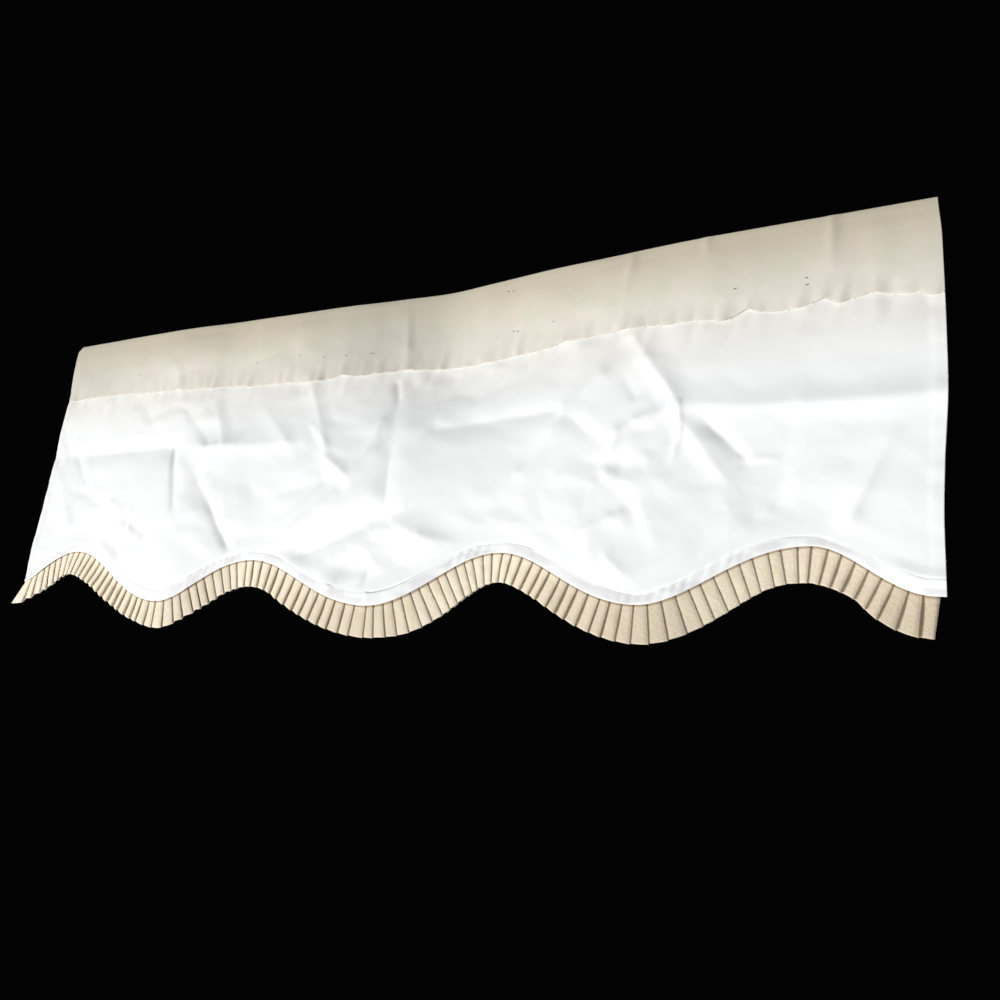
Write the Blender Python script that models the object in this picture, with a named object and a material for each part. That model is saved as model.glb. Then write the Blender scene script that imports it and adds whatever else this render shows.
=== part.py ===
"""Window valance, hung by its top edge, with its white side towards the viewer.

A white cloth with a wavy lower edge carries an off-white band folded over its top edge, and a
knife-pleated strip sewn behind its lower edge. Sizes are in millimetres until place() turns them
into metres.

The frame: the origin is the middle of the top edge, +X runs to the viewer's right along the
valance, -Y points out towards the viewer and +Z is up. A drop is measured down from the top
edge, and outward is towards the viewer.
"""

import math
from typing import NamedTuple

import bmesh
import bpy
from mathutils import Vector

MM = 0.001

# ---- driving sizes, in millimetres ----
WIDTH = 1180.0
CLEARANCE = 0.45
TRIM_CLEARANCE = 0.6

PANEL_THICKNESS = 1.5
HEM_THICKNESS = 2.1
HEM_DEPTH = 11.5
HEM_STEP = 2.0
PANEL_COLUMNS = 84
SIDE_REACH = 45.0

BAND_THICKNESS = 1.0
BAND_PUCKER = 1.4
BAND_TACK_PITCH = 56.0

PLEAT_THICKNESS = 1.0
PLEAT_PITCH = 12.7
PLEAT_UNDERLAP = 4.5
LEAST_UNDERLAP = 1.5
MOST_UNDERLAP = 0.72
LAYER_STEP = PLEAT_THICKNESS + 0.55
PLEAT_CLOTH = PLEAT_PITCH + 2.0 * PLEAT_UNDERLAP
PLEAT_ERROR = 0.6
PLEAT_EASE = 30.0
TRIM_HIDDEN = 10.0
TRIM_SHOWING = 33.0
TRIM_TOOTH = 0.6
LOOSE_TOOTH = 3.2
LOOSE_DEPTH = 4.0
TRIM_INSET = 4.0
END_TUCK = 4.0
END_REACH = 30.0
POINTS_PER_PLEAT = 4
RETURN_CELL = 2
TRIM_STATIONS = (-TRIM_HIDDEN, 1.0, TRIM_SHOWING / 2, TRIM_SHOWING)

FOLD_ROUNDING = 2.5
FOLD_FADE_AT_HEM = 26.0
SWAY_DEPTH = 360.0


class EdgePoint(NamedTuple):
    """A point of a line that runs along the valance."""

    x: float
    drop: float


class SidePoint(NamedTuple):
    """A point of a side edge: how far it stands out past the nominal width."""

    drop: float
    past: float


class SwayPoint(NamedTuple):
    """How far the lower edge stands towards the viewer at one place."""

    x: float
    outward: float


class BowPoint(NamedTuple):
    """How far the top edge lies back from the viewer at one place."""

    x: float
    back: float


class BowShare(NamedTuple):
    """How much of the top edge's bow is left at a drop."""

    drop: float
    share: float


class DepthShare(NamedTuple):
    """How much of the trim's nominal depth shows below the cloth at one place."""

    x: float
    share: float


class LeanPoint(NamedTuple):
    """How far to the right the trim's lower edge hangs at one place."""

    x: float
    lean: float


class LoosePoint(NamedTuple):
    """How far the pleats hang open at one place: 0 is pressed flat, 1 is fully open."""

    x: float
    looseness: float


class Turn(NamedTuple):
    """A crest or trough of the lower edge, and the half-wave that ends there."""

    x: float
    drop: float
    lean: float
    pleats: int


class Fold(NamedTuple):
    """A crease from a first point to a second one.

    The heights are towards the viewer, so a trough's are negative. The widths are how far the
    crease fades out on the left and on the right of its direction.
    """

    x1: float
    drop1: float
    x2: float
    drop2: float
    height1: float
    height2: float
    left: float
    right: float


# The lower edge of the band, which was turned over and tacked down by hand.
BAND_LINE = (
    EdgePoint(-600, 88),
    EdgePoint(-320, 88),
    EdgePoint(-200, 90),
    EdgePoint(-110, 92),
    EdgePoint(30, 89),
    EdgePoint(120, 93),
    EdgePoint(215, 90),
    EdgePoint(280, 87),
    EdgePoint(440, 88),
    EdgePoint(540, 86),
    EdgePoint(600, 91),
)

# The crease across the whole cloth, where it was once folded for storage.
STORAGE_LINE = (
    EdgePoint(-600, 177),
    EdgePoint(-320, 174),
    EdgePoint(-100, 179),
    EdgePoint(88, 174),
    EdgePoint(238, 166),
    EdgePoint(372, 172),
    EdgePoint(600, 176),
)

LEFT_SIDE = (
    SidePoint(-5, -13.0),
    SidePoint(6, -8.5),
    SidePoint(40, -8.5),
    SidePoint(60, -10.2),
    SidePoint(85, -13.0),
    SidePoint(150, -9.5),
    SidePoint(200, -10.0),
    SidePoint(260, -8.5),
    SidePoint(340, -5.0),
    SidePoint(365, -5.5),
)

RIGHT_SIDE = (
    SidePoint(-5, -2.0),
    SidePoint(40, 0.9),
    SidePoint(170, 2.8),
    SidePoint(240, -0.8),
    SidePoint(290, -2.2),
    SidePoint(350, -1.5),
)

SWAY = (
    SwayPoint(-600, 1.0),
    SwayPoint(-483, -2.0),
    SwayPoint(-304, 4.0),
    SwayPoint(-150, -3.0),
    SwayPoint(32, 4.0),
    SwayPoint(194, -3.0),
    SwayPoint(336, 3.0),
    SwayPoint(488, -2.0),
    SwayPoint(600, 3.0),
)

# The upper half lies back from the viewer, most of all right of the middle crease.
BOW = (
    BowPoint(-380, 0.0),
    BowPoint(-219, 8.0),
    BowPoint(-62, 14.0),
    BowPoint(14, 20.0),
    BowPoint(73, 24.0),
    BowPoint(139, 18.0),
    BowPoint(225, 9.0),
    BowPoint(305, 4.0),
    BowPoint(400, 0.0),
)

BOW_SHARES = (
    BowShare(0, 1.0),
    BowShare(90, 1.1),
    BowShare(175, 0.4),
    BowShare(260, 0.0),
)

WAVE = (
    Turn(-612, 366.5, 0.0, 0),
    Turn(-483, 316.5, -2.5, 9),
    Turn(-304, 376.5, 0.0, 15),
    Turn(-150, 326.0, -7.0, 12),
    Turn(32, 375.5, -7.5, 13),
    Turn(190, 315.2, 2.0, 15),
    Turn(336, 363.5, -5.0, 13),
    Turn(488, 308.0, -4.5, 13),
    Turn(592, 349.0, 2.0, 9),
)

# The strip was sewn on unevenly: more of it shows below the troughs than below the crests.
TRIM_SHARES = (
    DepthShare(-600, 1.04),
    DepthShare(-575, 1.10),
    DepthShare(-545, 1.10),
    DepthShare(-495, 0.94),
    DepthShare(-440, 1.05),
    DepthShare(-400, 1.14),
    DepthShare(-370, 1.08),
    DepthShare(-330, 1.04),
    DepthShare(-290, 1.17),
    DepthShare(-264, 1.08),
    DepthShare(-227, 1.06),
    DepthShare(-188, 0.97),
    DepthShare(-150, 0.95),
    DepthShare(-112, 0.96),
    DepthShare(-85, 1.04),
    DepthShare(-10, 1.00),
    DepthShare(45, 1.04),
    DepthShare(77, 1.16),
    DepthShare(105, 1.12),
    DepthShare(150, 1.00),
    DepthShare(194, 0.89),
    DepthShare(300, 1.00),
    DepthShare(352, 1.08),
    DepthShare(400, 1.03),
    DepthShare(460, 0.91),
    DepthShare(500, 0.96),
    DepthShare(530, 0.95),
    DepthShare(568, 1.06),
    DepthShare(590, 1.00),
)

# The pleats at the left end hang spread out, and those beside the first crest lean with them.
TRIM_LEANS = (
    LeanPoint(-590, -38.0),
    LeanPoint(-576, -28.0),
    LeanPoint(-563, -21.0),
    LeanPoint(-548, -16.0),
    LeanPoint(-525, -12.0),
    LeanPoint(-450, -10.0),
    LeanPoint(-410, -4.0),
    LeanPoint(-370, 0.0),
    LeanPoint(60, 0.0),
    LeanPoint(100, 4.0),
    LeanPoint(165, -2.0),
    LeanPoint(215, -2.0),
    LeanPoint(260, 0.0),
    LeanPoint(380, -1.0),
    LeanPoint(440, -3.0),
    LeanPoint(510, 2.0),
    LeanPoint(530, 2.5),
    LeanPoint(550, 0.5),
    LeanPoint(562, 2.5),
    LeanPoint(574, 5.5),
    LeanPoint(590, 1.5),
)

LOOSENESS = (
    LoosePoint(-600, 1.0),
    LoosePoint(-530, 0.8),
    LoosePoint(-500, 0.0),
    LoosePoint(-295, 0.0),
    LoosePoint(-265, 0.5),
    LoosePoint(-225, 0.5),
    LoosePoint(-190, 0.0),
)

FOLDS = (
    # the storage crease: it turns over in each quarter of the cloth
    Fold(-600, 177, -325, 174, -1.6, -2.6, 26, 32),
    Fold(-275, 178, -100, 179, 2.6, 1.6, 30, 28),
    Fold(88, 174, 238, 166, -2.2, -2.8, 24, 30),
    Fold(375, 172, 600, 176, 2.6, 2.8, 28, 26),
    # the upright crease in the middle, and the three that spread out from its foot
    Fold(22, 94, 40, 276, -1.8, -2.8, 22, 24),
    Fold(40, 276, -80, 322, -2.8, -1.6, 36, 30),
    Fold(40, 276, -20, 345, -2.8, -1.5, 30, 30),
    Fold(42, 276, 135, 322, 3.2, 1.6, 32, 34),
    # short creases across the left half
    Fold(-583, 175, -515, 280, 1.6, 1.2, 18, 22),
    Fold(-324, 172, -301, 258, -1.6, -1.0, 20, 18),
    Fold(-272, 220, -193, 312, -2.2, -1.6, 24, 26),
    Fold(-110, 97, -64, 188, 1.4, 1.4, 20, 22),
    # the knot of creases at the right quarter
    Fold(316, 94, 368, 172, 2.0, 3.0, 24, 20),
    Fold(246, 168, 306, 218, -2.3, -1.6, 18, 28),
    Fold(247, 168, 212, 226, 2.2, 1.2, 22, 22),
    Fold(372, 188, 416, 250, 2.8, 1.6, 28, 20),
    Fold(306, 218, 322, 255, -1.8, -0.8, 22, 24),
    Fold(549, 224, 516, 284, 1.6, 1.0, 16, 20),
)

# ---- finishes: base colour, roughness and sheen ----
WHITE_SATIN = ((0.955, 0.960, 0.965, 1.0), 0.45, 0.3)
OFF_WHITE_COTTON = ((0.800, 0.765, 0.695, 1.0), 0.85, 0.2)
BEIGE_CANVAS = ((0.790, 0.705, 0.545, 1.0), 0.90, 0.2)


def read_smooth(rows, at):
    """Read a two-column table at one place, along a smooth curve that never overshoots its rows."""
    last = len(rows) - 1
    if at <= rows[0][0]:
        return rows[0][1]
    if at >= rows[last][0]:
        return rows[last][1]
    i = max(k for k in range(last) if rows[k][0] <= at)
    rises = [(b[1] - a[1]) / (b[0] - a[0]) for a, b in zip(rows, rows[1:])]

    def slope(k):
        if k in (0, last) or rises[k - 1] * rises[k] <= 0.0:
            return 0.0
        return 2.0 * rises[k - 1] * rises[k] / (rises[k - 1] + rises[k])

    (start, low), (end, high) = rows[i], rows[i + 1]
    span = end - start
    t = (at - start) / span
    ease_in = t * t * (3.0 - 2.0 * t)
    bend = slope(i) * t * (1.0 - t) ** 2 - slope(i + 1) * t * t * (1.0 - t)
    return low + (high - low) * ease_in + span * bend


def fade(share):
    """Ease from 0 to 1."""
    share = min(max(share, 0.0), 1.0)
    return share * share * (3.0 - 2.0 * share)


def wave_drop(x):
    """The drop of the cloth's lower edge: half-waves from turn to turn, with leaning sides."""
    for start, end in zip(WAVE, WAVE[1:]):
        if x <= end.x or end is WAVE[-1]:
            break
    length = end.x - start.x
    t = min(max((x - start.x) / length, 0.0), 1.0)
    t -= end.lean / length * math.sin(math.pi * t)
    return start.drop + (end.drop - start.drop) * (1.0 - math.cos(math.pi * t)) / 2.0


def sway(x, drop):
    """The cloth's slow swing towards the viewer, which grows downwards."""
    return read_smooth(SWAY, x) * (max(drop, 0.0) / SWAY_DEPTH) ** 1.5


def bow(x, drop):
    """How far the cloth lies back from the viewer in its upper half."""
    return read_smooth(BOW, x) * read_smooth(BOW_SHARES, drop)


def fold_height(fold, x, drop):
    """One crease's height at a point: a rounded ridge or trough that fades out on each side."""
    along = Vector((fold.x2 - fold.x1, fold.drop2 - fold.drop1))
    from_start = Vector((x - fold.x1, drop - fold.drop1))
    t = min(max(from_start.dot(along) / along.length_squared, 0.0), 1.0)
    distance = (from_start - along * t).length
    on_left = along.x * from_start.y - along.y * from_start.x < 0.0
    width = fold.left if on_left else fold.right
    softened = math.hypot(distance, FOLD_ROUNDING) - FOLD_ROUNDING
    share = max(1.0 - softened / width, 0.0)
    return (fold.height1 + (fold.height2 - fold.height1) * t) * share * share


def crease_height(x, drop):
    """The height of all the creases at a point, joined so that those that meet don't pile up."""
    heights = [fold_height(fold, x, drop) for fold in FOLDS]
    ridge = sum(height**3 for height in heights if height > 0.0)
    trough = sum(-(height**3) for height in heights if height < 0.0)
    return ridge ** (1.0 / 3.0) - trough ** (1.0 / 3.0)


def cloth_outward(x, drop):
    """How far the cloth's middle surface stands towards the viewer."""
    near_hem = fade((wave_drop(x) - HEM_DEPTH - drop) / FOLD_FADE_AT_HEM)
    return sway(x, drop) - bow(x, drop) + crease_height(x, drop) * near_hem


def side_shift(x, drop):
    """How far the uneven side edges push a point sideways."""
    left = fade(1.0 - (x + WIDTH / 2) / SIDE_REACH) * -read_smooth(LEFT_SIDE, drop)
    right = fade(1.0 - (WIDTH / 2 - x) / SIDE_REACH) * read_smooth(RIGHT_SIDE, drop)
    return left + right


def place(x, drop, outward):
    """A point in metres in the part's frame, whose origin lies on the bowed top edge."""
    return Vector((x, -outward - bow(0.0, 0.0), -drop)) * MM


def cloth_point(x, drop, offset=0.0):
    """A point in front of the cloth's middle surface, with the side edges' shift."""
    x += side_shift(x, drop)
    return place(x, drop, cloth_outward(x, drop) + offset)


# ---- the stations that the cloth and the band share ----
BAND_OFFSET = PANEL_THICKNESS / 2 + CLEARANCE + BAND_THICKNESS / 2
BAND_RIM = BAND_OFFSET + BAND_THICKNESS / 2
HEADING_SHARES = (0.0, 0.5, 1.0)
BAND_FOLD_ANGLES = (120.0, 60.0)
UPPER_CELLS = 3
LOWER_CELLS = 5


def column_places():
    """The nominal places of the columns of points, from side to side."""
    step = WIDTH / PANEL_COLUMNS
    return [-WIDTH / 2 + step * i for i in range(PANEL_COLUMNS + 1)]


def heading_drop(x, share):
    """A drop within the heading: share 0 is just inside the top fold, share 1 its lower edge."""
    return BAND_RIM + (read_smooth(BAND_LINE, x) - BAND_RIM) * share


def panel_drops(x):
    """The drops of one column of the cloth, from its top to its lower edge."""
    edge = wave_drop(x)
    hem = edge - HEM_DEPTH
    upper, middle = heading_drop(x, 1.0), read_smooth(STORAGE_LINE, x)
    drops = [heading_drop(x, share) for share in HEADING_SHARES]
    drops += [upper + (middle - upper) * k / UPPER_CELLS for k in range(1, UPPER_CELLS + 1)]
    foot = hem - HEM_STEP
    drops += [middle + (foot - middle) * k / LOWER_CELLS for k in range(1, LOWER_CELLS + 1)]
    return drops + [hem, edge]


def material(name, finish):
    """A Principled material with one finish's colour, roughness and sheen."""
    colour, roughness, sheen = finish
    made = bpy.data.materials.new(name)
    made.use_nodes = True
    shader = made.node_tree.nodes["Principled BSDF"]
    shader.inputs["Base Color"].default_value = colour
    shader.inputs["Roughness"].default_value = roughness
    shader.inputs["Metallic"].default_value = 0.0
    shader.inputs["Sheen Weight"].default_value = sheen
    made.diffuse_color = colour
    return made


def sheet(name, rows, thickness, finish, turned_cells=()):
    """A sheet of cloth: a grid of points on its middle surface, thickened evenly both ways.

    rows run from the top down as the viewer sees them, and each row from left to right. Each cell
    is cut in two from its lower left to its upper right, and the other way in turned_cells.
    """
    bm = bmesh.new()
    grid = [[bm.verts.new(point) for point in row] for row in rows]
    for upper, lower in zip(grid, grid[1:]):
        for i in range(len(upper) - 1):
            if i in turned_cells:
                bm.faces.new((upper[i], lower[i], lower[i + 1]))
                bm.faces.new((upper[i], lower[i + 1], upper[i + 1]))
            else:
                bm.faces.new((upper[i], lower[i], upper[i + 1]))
                bm.faces.new((lower[i], lower[i + 1], upper[i + 1]))
    mesh = bpy.data.meshes.new(name)
    bm.to_mesh(mesh)
    bm.free()
    mesh.shade_smooth()
    mesh.materials.append(material(name + "_finish", finish))
    made = bpy.data.objects.new(name, mesh)
    bpy.context.scene.collection.objects.link(made)
    solidify = made.modifiers.new("thickness", "SOLIDIFY")
    solidify.thickness = thickness * MM
    solidify.offset = 0.0
    solidify.use_even_offset = True
    return made


def build_panel():
    """The white cloth, with a thicker turned hem along its wavy lower edge."""
    columns = [(x, panel_drops(x)) for x in column_places()]
    rows = [[cloth_point(x, drops[r]) for x, drops in columns] for r in range(len(columns[0][1]))]
    panel = sheet("panel", rows, HEM_THICKNESS, WHITE_SATIN)
    thickness = panel.vertex_groups.new(name="thickness")
    per_row = PANEL_COLUMNS + 1
    hem_start = (len(rows) - 2) * per_row
    thickness.add(range(hem_start), PANEL_THICKNESS / HEM_THICKNESS, "REPLACE")
    thickness.add(range(hem_start, len(rows) * per_row), 1.0, "REPLACE")
    panel.modifiers["thickness"].vertex_group = thickness.name
    return panel


def band_pucker(x):
    """How far the band's lower edge lifts between its tacks."""
    uneven = x + 9.0 * math.sin(x / 71.0) + 5.0 * math.sin(x / 29.0 + 1.0)
    return BAND_PUCKER * abs(math.sin(math.pi * uneven / BAND_TACK_PITCH))


def build_heading_band():
    """The off-white band, folded over the top edge: a deep leg in front and a short one behind."""
    places = column_places()

    def front_row(share):
        lift = share * share
        return [cloth_point(x, heading_drop(x, share), BAND_OFFSET + lift * band_pucker(x)) for x in places]

    def back_row(share):
        return [cloth_point(x, heading_drop(x, share), -BAND_OFFSET) for x in places]

    def fold_row(degrees):
        angle = math.radians(degrees)
        rise = Vector((0.0, 0.0, BAND_OFFSET * math.sin(angle))) * MM
        return [cloth_point(x, heading_drop(x, 0.0), BAND_OFFSET * math.cos(angle)) + rise for x in places]

    rows = [back_row(share) for share in reversed(HEADING_SHARES[:-1])]
    rows += [fold_row(degrees) for degrees in BAND_FOLD_ANGLES]
    rows += [front_row(share) for share in HEADING_SHARES]
    return sheet("heading_band", rows, BAND_THICKNESS, OFF_WHITE_COTTON)


class Edge:
    """The cloth's lower edge as a path that is measured by its length."""

    STEP = 1.0

    def __init__(self):
        start = -WIDTH / 2 - read_smooth(LEFT_SIDE, wave_drop(-WIDTH / 2))
        end = WIDTH / 2 - TRIM_INSET
        count = round((end - start) / self.STEP)
        self.xs = [start + (end - start) * i / count for i in range(count + 1)]
        self.drops = [wave_drop(x) for x in self.xs]
        self.lengths = [0.0]
        for i in range(count):
            run, fall = self.xs[i + 1] - self.xs[i], self.drops[i + 1] - self.drops[i]
            self.lengths.append(self.lengths[-1] + math.hypot(run, fall))
        self.total = self.lengths[-1]

    def at(self, length):
        """The x, drop and downward normal at a length along the edge."""
        share = min(max(length / self.total, 0.0), 1.0)
        low, high = 0, len(self.lengths) - 1
        while high - low > 1:
            middle = (low + high) // 2
            low, high = (middle, high) if self.lengths[middle] <= share * self.total else (low, middle)
        span = self.lengths[high] - self.lengths[low]
        t = (share * self.total - self.lengths[low]) / span
        x = self.xs[low] + (self.xs[high] - self.xs[low]) * t
        slope = (wave_drop(x + PLEAT_EASE) - wave_drop(x - PLEAT_EASE)) / (2.0 * PLEAT_EASE)
        tilt = math.hypot(1.0, slope)
        return x, wave_drop(x), Vector((-slope / tilt, 1.0 / tilt))

    def length_to(self, x):
        """The length along the edge up to a place x."""
        i = min(max(round((x - self.xs[0]) / self.STEP), 0), len(self.xs) - 1)
        return self.lengths[i]


def pleat_lengths(edge):
    """Where each pleat's outer fold lies, as a length along the edge: evenly in each half-wave."""
    folds = []
    for start, end in zip(WAVE, WAVE[1:]):
        first, last = edge.length_to(start.x), edge.length_to(end.x)
        folds += [first + (last - first) * (k + 1) / end.pleats for k in range(end.pleats)]
    return folds


def unevenness(k):
    """A pleat's own small error, from -1 to 1."""
    return 0.6 * math.sin(2.4 * k) + 0.4 * math.sin(5.1 * k + 1.0)


def trim_point(edge, length, below, behind):
    """A point of the pleated strip: along the edge, below it, and behind its foremost folds."""
    x, drop, normal = edge.at(length)
    hanging, hidden = max(below, 0.0) / TRIM_SHOWING, max(-below, 0.0) / TRIM_HIDDEN
    below += max(below, 0.0) * (read_smooth(TRIM_SHARES, x) - 1.0)
    tuck = math.exp(-length / END_REACH) - math.exp(-(edge.total - length) / END_REACH)
    x_here = x + normal.x * below + read_smooth(TRIM_LEANS, x) * hanging + END_TUCK * tuck * hidden
    drop_here = drop + normal.y * below
    foremost = HEM_THICKNESS / 2 + TRIM_CLEARANCE + PLEAT_THICKNESS / 2
    return place(x_here, drop_here, sway(x, drop_here) - foremost - behind)


def pleat_row(edge, folds, below):
    """One row of the pleated strip: out to each pleat's fold, back under it, and on to the next.

    A fold is as deep as its three layers need to lie apart where the narrower pleat beside it is.
    """
    hanging = max(below, 0.0) / TRIM_SHOWING
    outer = [0.0] + [fold + PLEAT_ERROR * unevenness(k) * hanging for k, fold in enumerate(folds)]
    fronts = [trim_point(edge, length, below, 0.0) for length in outer]
    widths = [(after - before).length / MM for before, after in zip(fronts, fronts[1:])]
    points = fronts[:1]
    for k in range(1, len(outer) - 1):
        loose = read_smooth(LOOSENESS, edge.at(outer[k])[0]) * hanging
        tooth = TRIM_TOOTH * hanging + LOOSE_TOOTH * loose
        underlap = max((PLEAT_CLOTH - widths[k - 1]) / 2.0, LEAST_UNDERLAP)
        underlap = min(underlap, MOST_UNDERLAP * widths[k - 1])
        depth = 2.0 * LAYER_STEP * (1.0 + underlap / min(widths[k - 1], widths[k])) + LOOSE_DEPTH * loose
        inner = outer[k] - underlap * (outer[k] - outer[k - 1]) / widths[k - 1]
        points.append(trim_point(edge, outer[k], below + tooth, 0.0))
        points.append(trim_point(edge, outer[k], below + tooth, LAYER_STEP))
        points.append(trim_point(edge, inner, below - tooth, depth - LAYER_STEP))
        points.append(trim_point(edge, inner, below - tooth, depth))
    return points + [trim_point(edge, edge.total, below, 0.0)]


def build_pleated_trim():
    """The beige strip: knife pleats whose right-hand folds lie over the next pleat."""
    edge = Edge()
    folds = pleat_lengths(edge)
    rows = [pleat_row(edge, folds, below) for below in TRIM_STATIONS]
    returns = range(RETURN_CELL, len(rows[0]), POINTS_PER_PLEAT)
    return sheet("pleated_trim", rows, PLEAT_THICKNESS, BEIGE_CANVAS, returns)


def main():
    for old in list(bpy.data.objects):
        bpy.data.objects.remove(old, do_unlink=True)
    build_panel()
    build_heading_band()
    build_pleated_trim()


if __name__ == "__main__":
    main()
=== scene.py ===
"""Dresses the window valance: its cloths, their creases and hems, and the sewing that joins them.

Lengths are in millimetres until HangingForm.place() turns them into metres. Places on the cloth are
given by x, along the valance to the viewer's right, and by drop, down from the top edge. Outward is
towards the viewer.
"""

import logging
import math
from dataclasses import dataclass, field
from enum import Enum
from functools import lru_cache
from typing import NamedTuple, Sequence, TypeVar

import bpy
import numpy as np
from mathutils import Matrix, Vector


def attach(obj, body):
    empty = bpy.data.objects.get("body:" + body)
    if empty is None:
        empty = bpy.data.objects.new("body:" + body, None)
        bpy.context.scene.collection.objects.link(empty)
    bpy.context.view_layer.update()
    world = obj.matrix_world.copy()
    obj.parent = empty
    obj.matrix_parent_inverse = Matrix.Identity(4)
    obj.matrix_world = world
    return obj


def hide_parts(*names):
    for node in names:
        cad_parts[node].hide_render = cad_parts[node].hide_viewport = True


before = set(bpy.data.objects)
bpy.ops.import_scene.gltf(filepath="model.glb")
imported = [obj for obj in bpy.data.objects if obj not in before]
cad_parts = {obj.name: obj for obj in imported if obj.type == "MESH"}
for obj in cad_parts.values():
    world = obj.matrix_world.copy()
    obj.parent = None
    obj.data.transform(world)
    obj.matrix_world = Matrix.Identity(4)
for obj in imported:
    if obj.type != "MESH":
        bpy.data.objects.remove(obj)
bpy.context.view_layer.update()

MM = 0.001
# The random grids repeat after so many cells, and the cloth's origin lies at this place on them.
GRID_SIZE = 256
GRID_START = (400.37, 400.61)
Colour = tuple[float, float, float, float]
Array = np.ndarray
Socket = bpy.types.NodeSocket
Piece = bpy.types.Object
Kind = TypeVar("Kind", bound=tuple)
log = logging.getLogger("valance")


# ---- tables of places and values


class Turn(NamedTuple):
    """A crest or trough of the wavy edge, and the half-wave that ends there."""

    x: float
    drop: float
    lean: float
    pleats: int


class Crease(NamedTuple):
    """A crease from a first point to a second one.

    Heights are outward, so a trough's are negative. The widths are how far it fades out on the left
    and on the right of its direction, and crisp is the radius that rounds its line.
    """

    x1: float
    drop1: float
    x2: float
    drop2: float
    height1: float
    height2: float
    left: float
    right: float
    crisp: float = 1.2


class Crumple(NamedTuple):
    """A place where the cloth is more crushed than elsewhere."""

    x: float
    drop: float
    reach: float
    height: float


class Tuck(NamedTuple):
    """A place where the band was caught up as it was tacked."""

    x: float
    width: float
    pull: float
    lift: float


def table(kind: type[Kind], *lines: tuple[float, ...]) -> tuple[Kind, ...]:
    """Make a table's rows of one kind from their numbers."""
    return tuple(kind(*line) for line in lines)


@dataclass(frozen=True)
class Curve:
    """A smooth curve through rows of a place and its value, which never overshoots them."""

    rows: tuple[tuple[float, float], ...]

    @classmethod
    def through(cls, *rows: tuple[float, float]) -> "Curve":
        """Make a curve from its rows."""
        return cls(rows)

    def at(self, places: Array) -> Array:
        """Read the curve at many places.

        Args:
            places: where to read it; beyond the rows the end values hold.

        Returns:
            The values there, in an array of the same shape.
        """
        xs, ys = np.array(self.rows, dtype=float).T
        rises = np.diff(ys) / np.diff(xs)
        slopes = np.zeros_like(ys)
        before, after = rises[:-1], rises[1:]
        same_way = before * after > 0.0
        slopes[1:-1][same_way] = (2.0 * before * after)[same_way] / (before + after)[same_way]
        places = np.clip(np.asarray(places, dtype=float), xs[0], xs[-1])
        i = np.clip(np.searchsorted(xs, places, side="right") - 1, 0, len(xs) - 2)
        span = xs[i + 1] - xs[i]
        t = (places - xs[i]) / span
        ease = t * t * (3.0 - 2.0 * t)
        bend = slopes[i] * t * (1.0 - t) ** 2 - slopes[i + 1] * t * t * (1.0 - t)
        return ys[i] + (ys[i + 1] - ys[i]) * ease + span * bend


def fade(share: Array) -> Array:
    """Ease from 0 to 1."""
    share = np.clip(share, 0.0, 1.0)
    return share * share * (3.0 - 2.0 * share)


@lru_cache(maxsize=None)
def random_grid(seed: int) -> Array:
    """A grid of values from -1 to 1, the same at every run."""
    return np.random.default_rng(seed).uniform(-1.0, 1.0, (GRID_SIZE, GRID_SIZE))


@dataclass(frozen=True)
class Unevenness:
    """Smooth, repeatable unevenness over the cloth, from -1 to 1."""

    seed: int
    cell_x: float
    cell_drop: float

    def cells(self, across: Array, down: Array) -> tuple[Array, ...]:
        """Find the cells of the random grid in which points lie.

        Args:
            across: lengths across the grid, in the cloth's millimetres.
            down: lengths down the grid, which go with them.

        Returns:
            Each point's share across and down its cell, and the cell's near, right, lower and far
            values.
        """
        u, v = across / self.cell_x + GRID_START[0], down / self.cell_drop + GRID_START[1]
        i, j = np.floor(u).astype(int), np.floor(v).astype(int)
        grid = random_grid(self.seed)
        corners = ((0, 0), (1, 0), (0, 1), (1, 1))
        values = (grid[(i + a) % GRID_SIZE, (j + b) % GRID_SIZE] for a, b in corners)
        return u - i, v - j, *values

    def at(self, x: Array, drop: Array) -> Array:
        """Read it at many points.

        Args:
            x: places along the valance.
            drop: drops, in an array that goes with x.

        Returns:
            The unevenness at each point.
        """
        s, t, near, right, below, far = self.cells(np.asarray(x), np.asarray(drop))
        s, t = (share**3 * (share * (6.0 * share - 15.0) + 10.0) for share in (s, t))
        upper, lower = near * (1.0 - s) + right * s, below * (1.0 - s) + far * s
        return upper * (1.0 - t) + lower * t

    def facets(self, x: Array, drop: Array) -> Array:
        """Read it as flat three-sided facets that meet along straight creases.

        Args:
            x: places along the valance.
            drop: drops, in an array that goes with x.

        Returns:
            The facets' height at each point, from -1 to 1.
        """
        warp = Unevenness(self.seed + 1, 1.3 * self.cell_x, 1.3 * self.cell_drop).at(x, drop)
        across = x + 0.45 * drop + 0.3 * self.cell_x * warp
        down = drop - 0.3 * x + 0.3 * self.cell_drop * warp
        s, t, near, right, below, far = self.cells(across, down)
        upper = near + (right - near) * s + (below - near) * t
        lower = far + (below - far) * (1.0 - s) + (right - far) * (1.0 - t)
        return np.where(s + t < 1.0, upper, lower)


def uneven_along(seed: int, cell: float, x: Array) -> Array:
    """Unevenness that changes along the valance alone, from -1 to 1."""
    return Unevenness(seed, cell, 1.0).at(x, 0.0)


BAND_LINE = Curve.through(
    (-600, 88), (-400, 90), (-320, 92), (-200, 95), (-110, 97), (30, 94.5), (120, 97), (215, 92),
    (280, 87), (440, 88), (540, 86), (600, 91),
)

STORAGE_LINE = Curve.through(
    (-600, 177), (-320, 174), (-100, 179), (88, 174), (238, 166), (372, 174), (480, 180),
    (600, 181),
)

LEFT_SIDE = Curve.through(
    (-5, -13), (6, -8.5), (40, -8.5), (60, -10.2), (85, -13), (150, -9.5), (200, -10),
    (260, -8.5), (340, -5), (365, -5.5),
)

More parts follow.
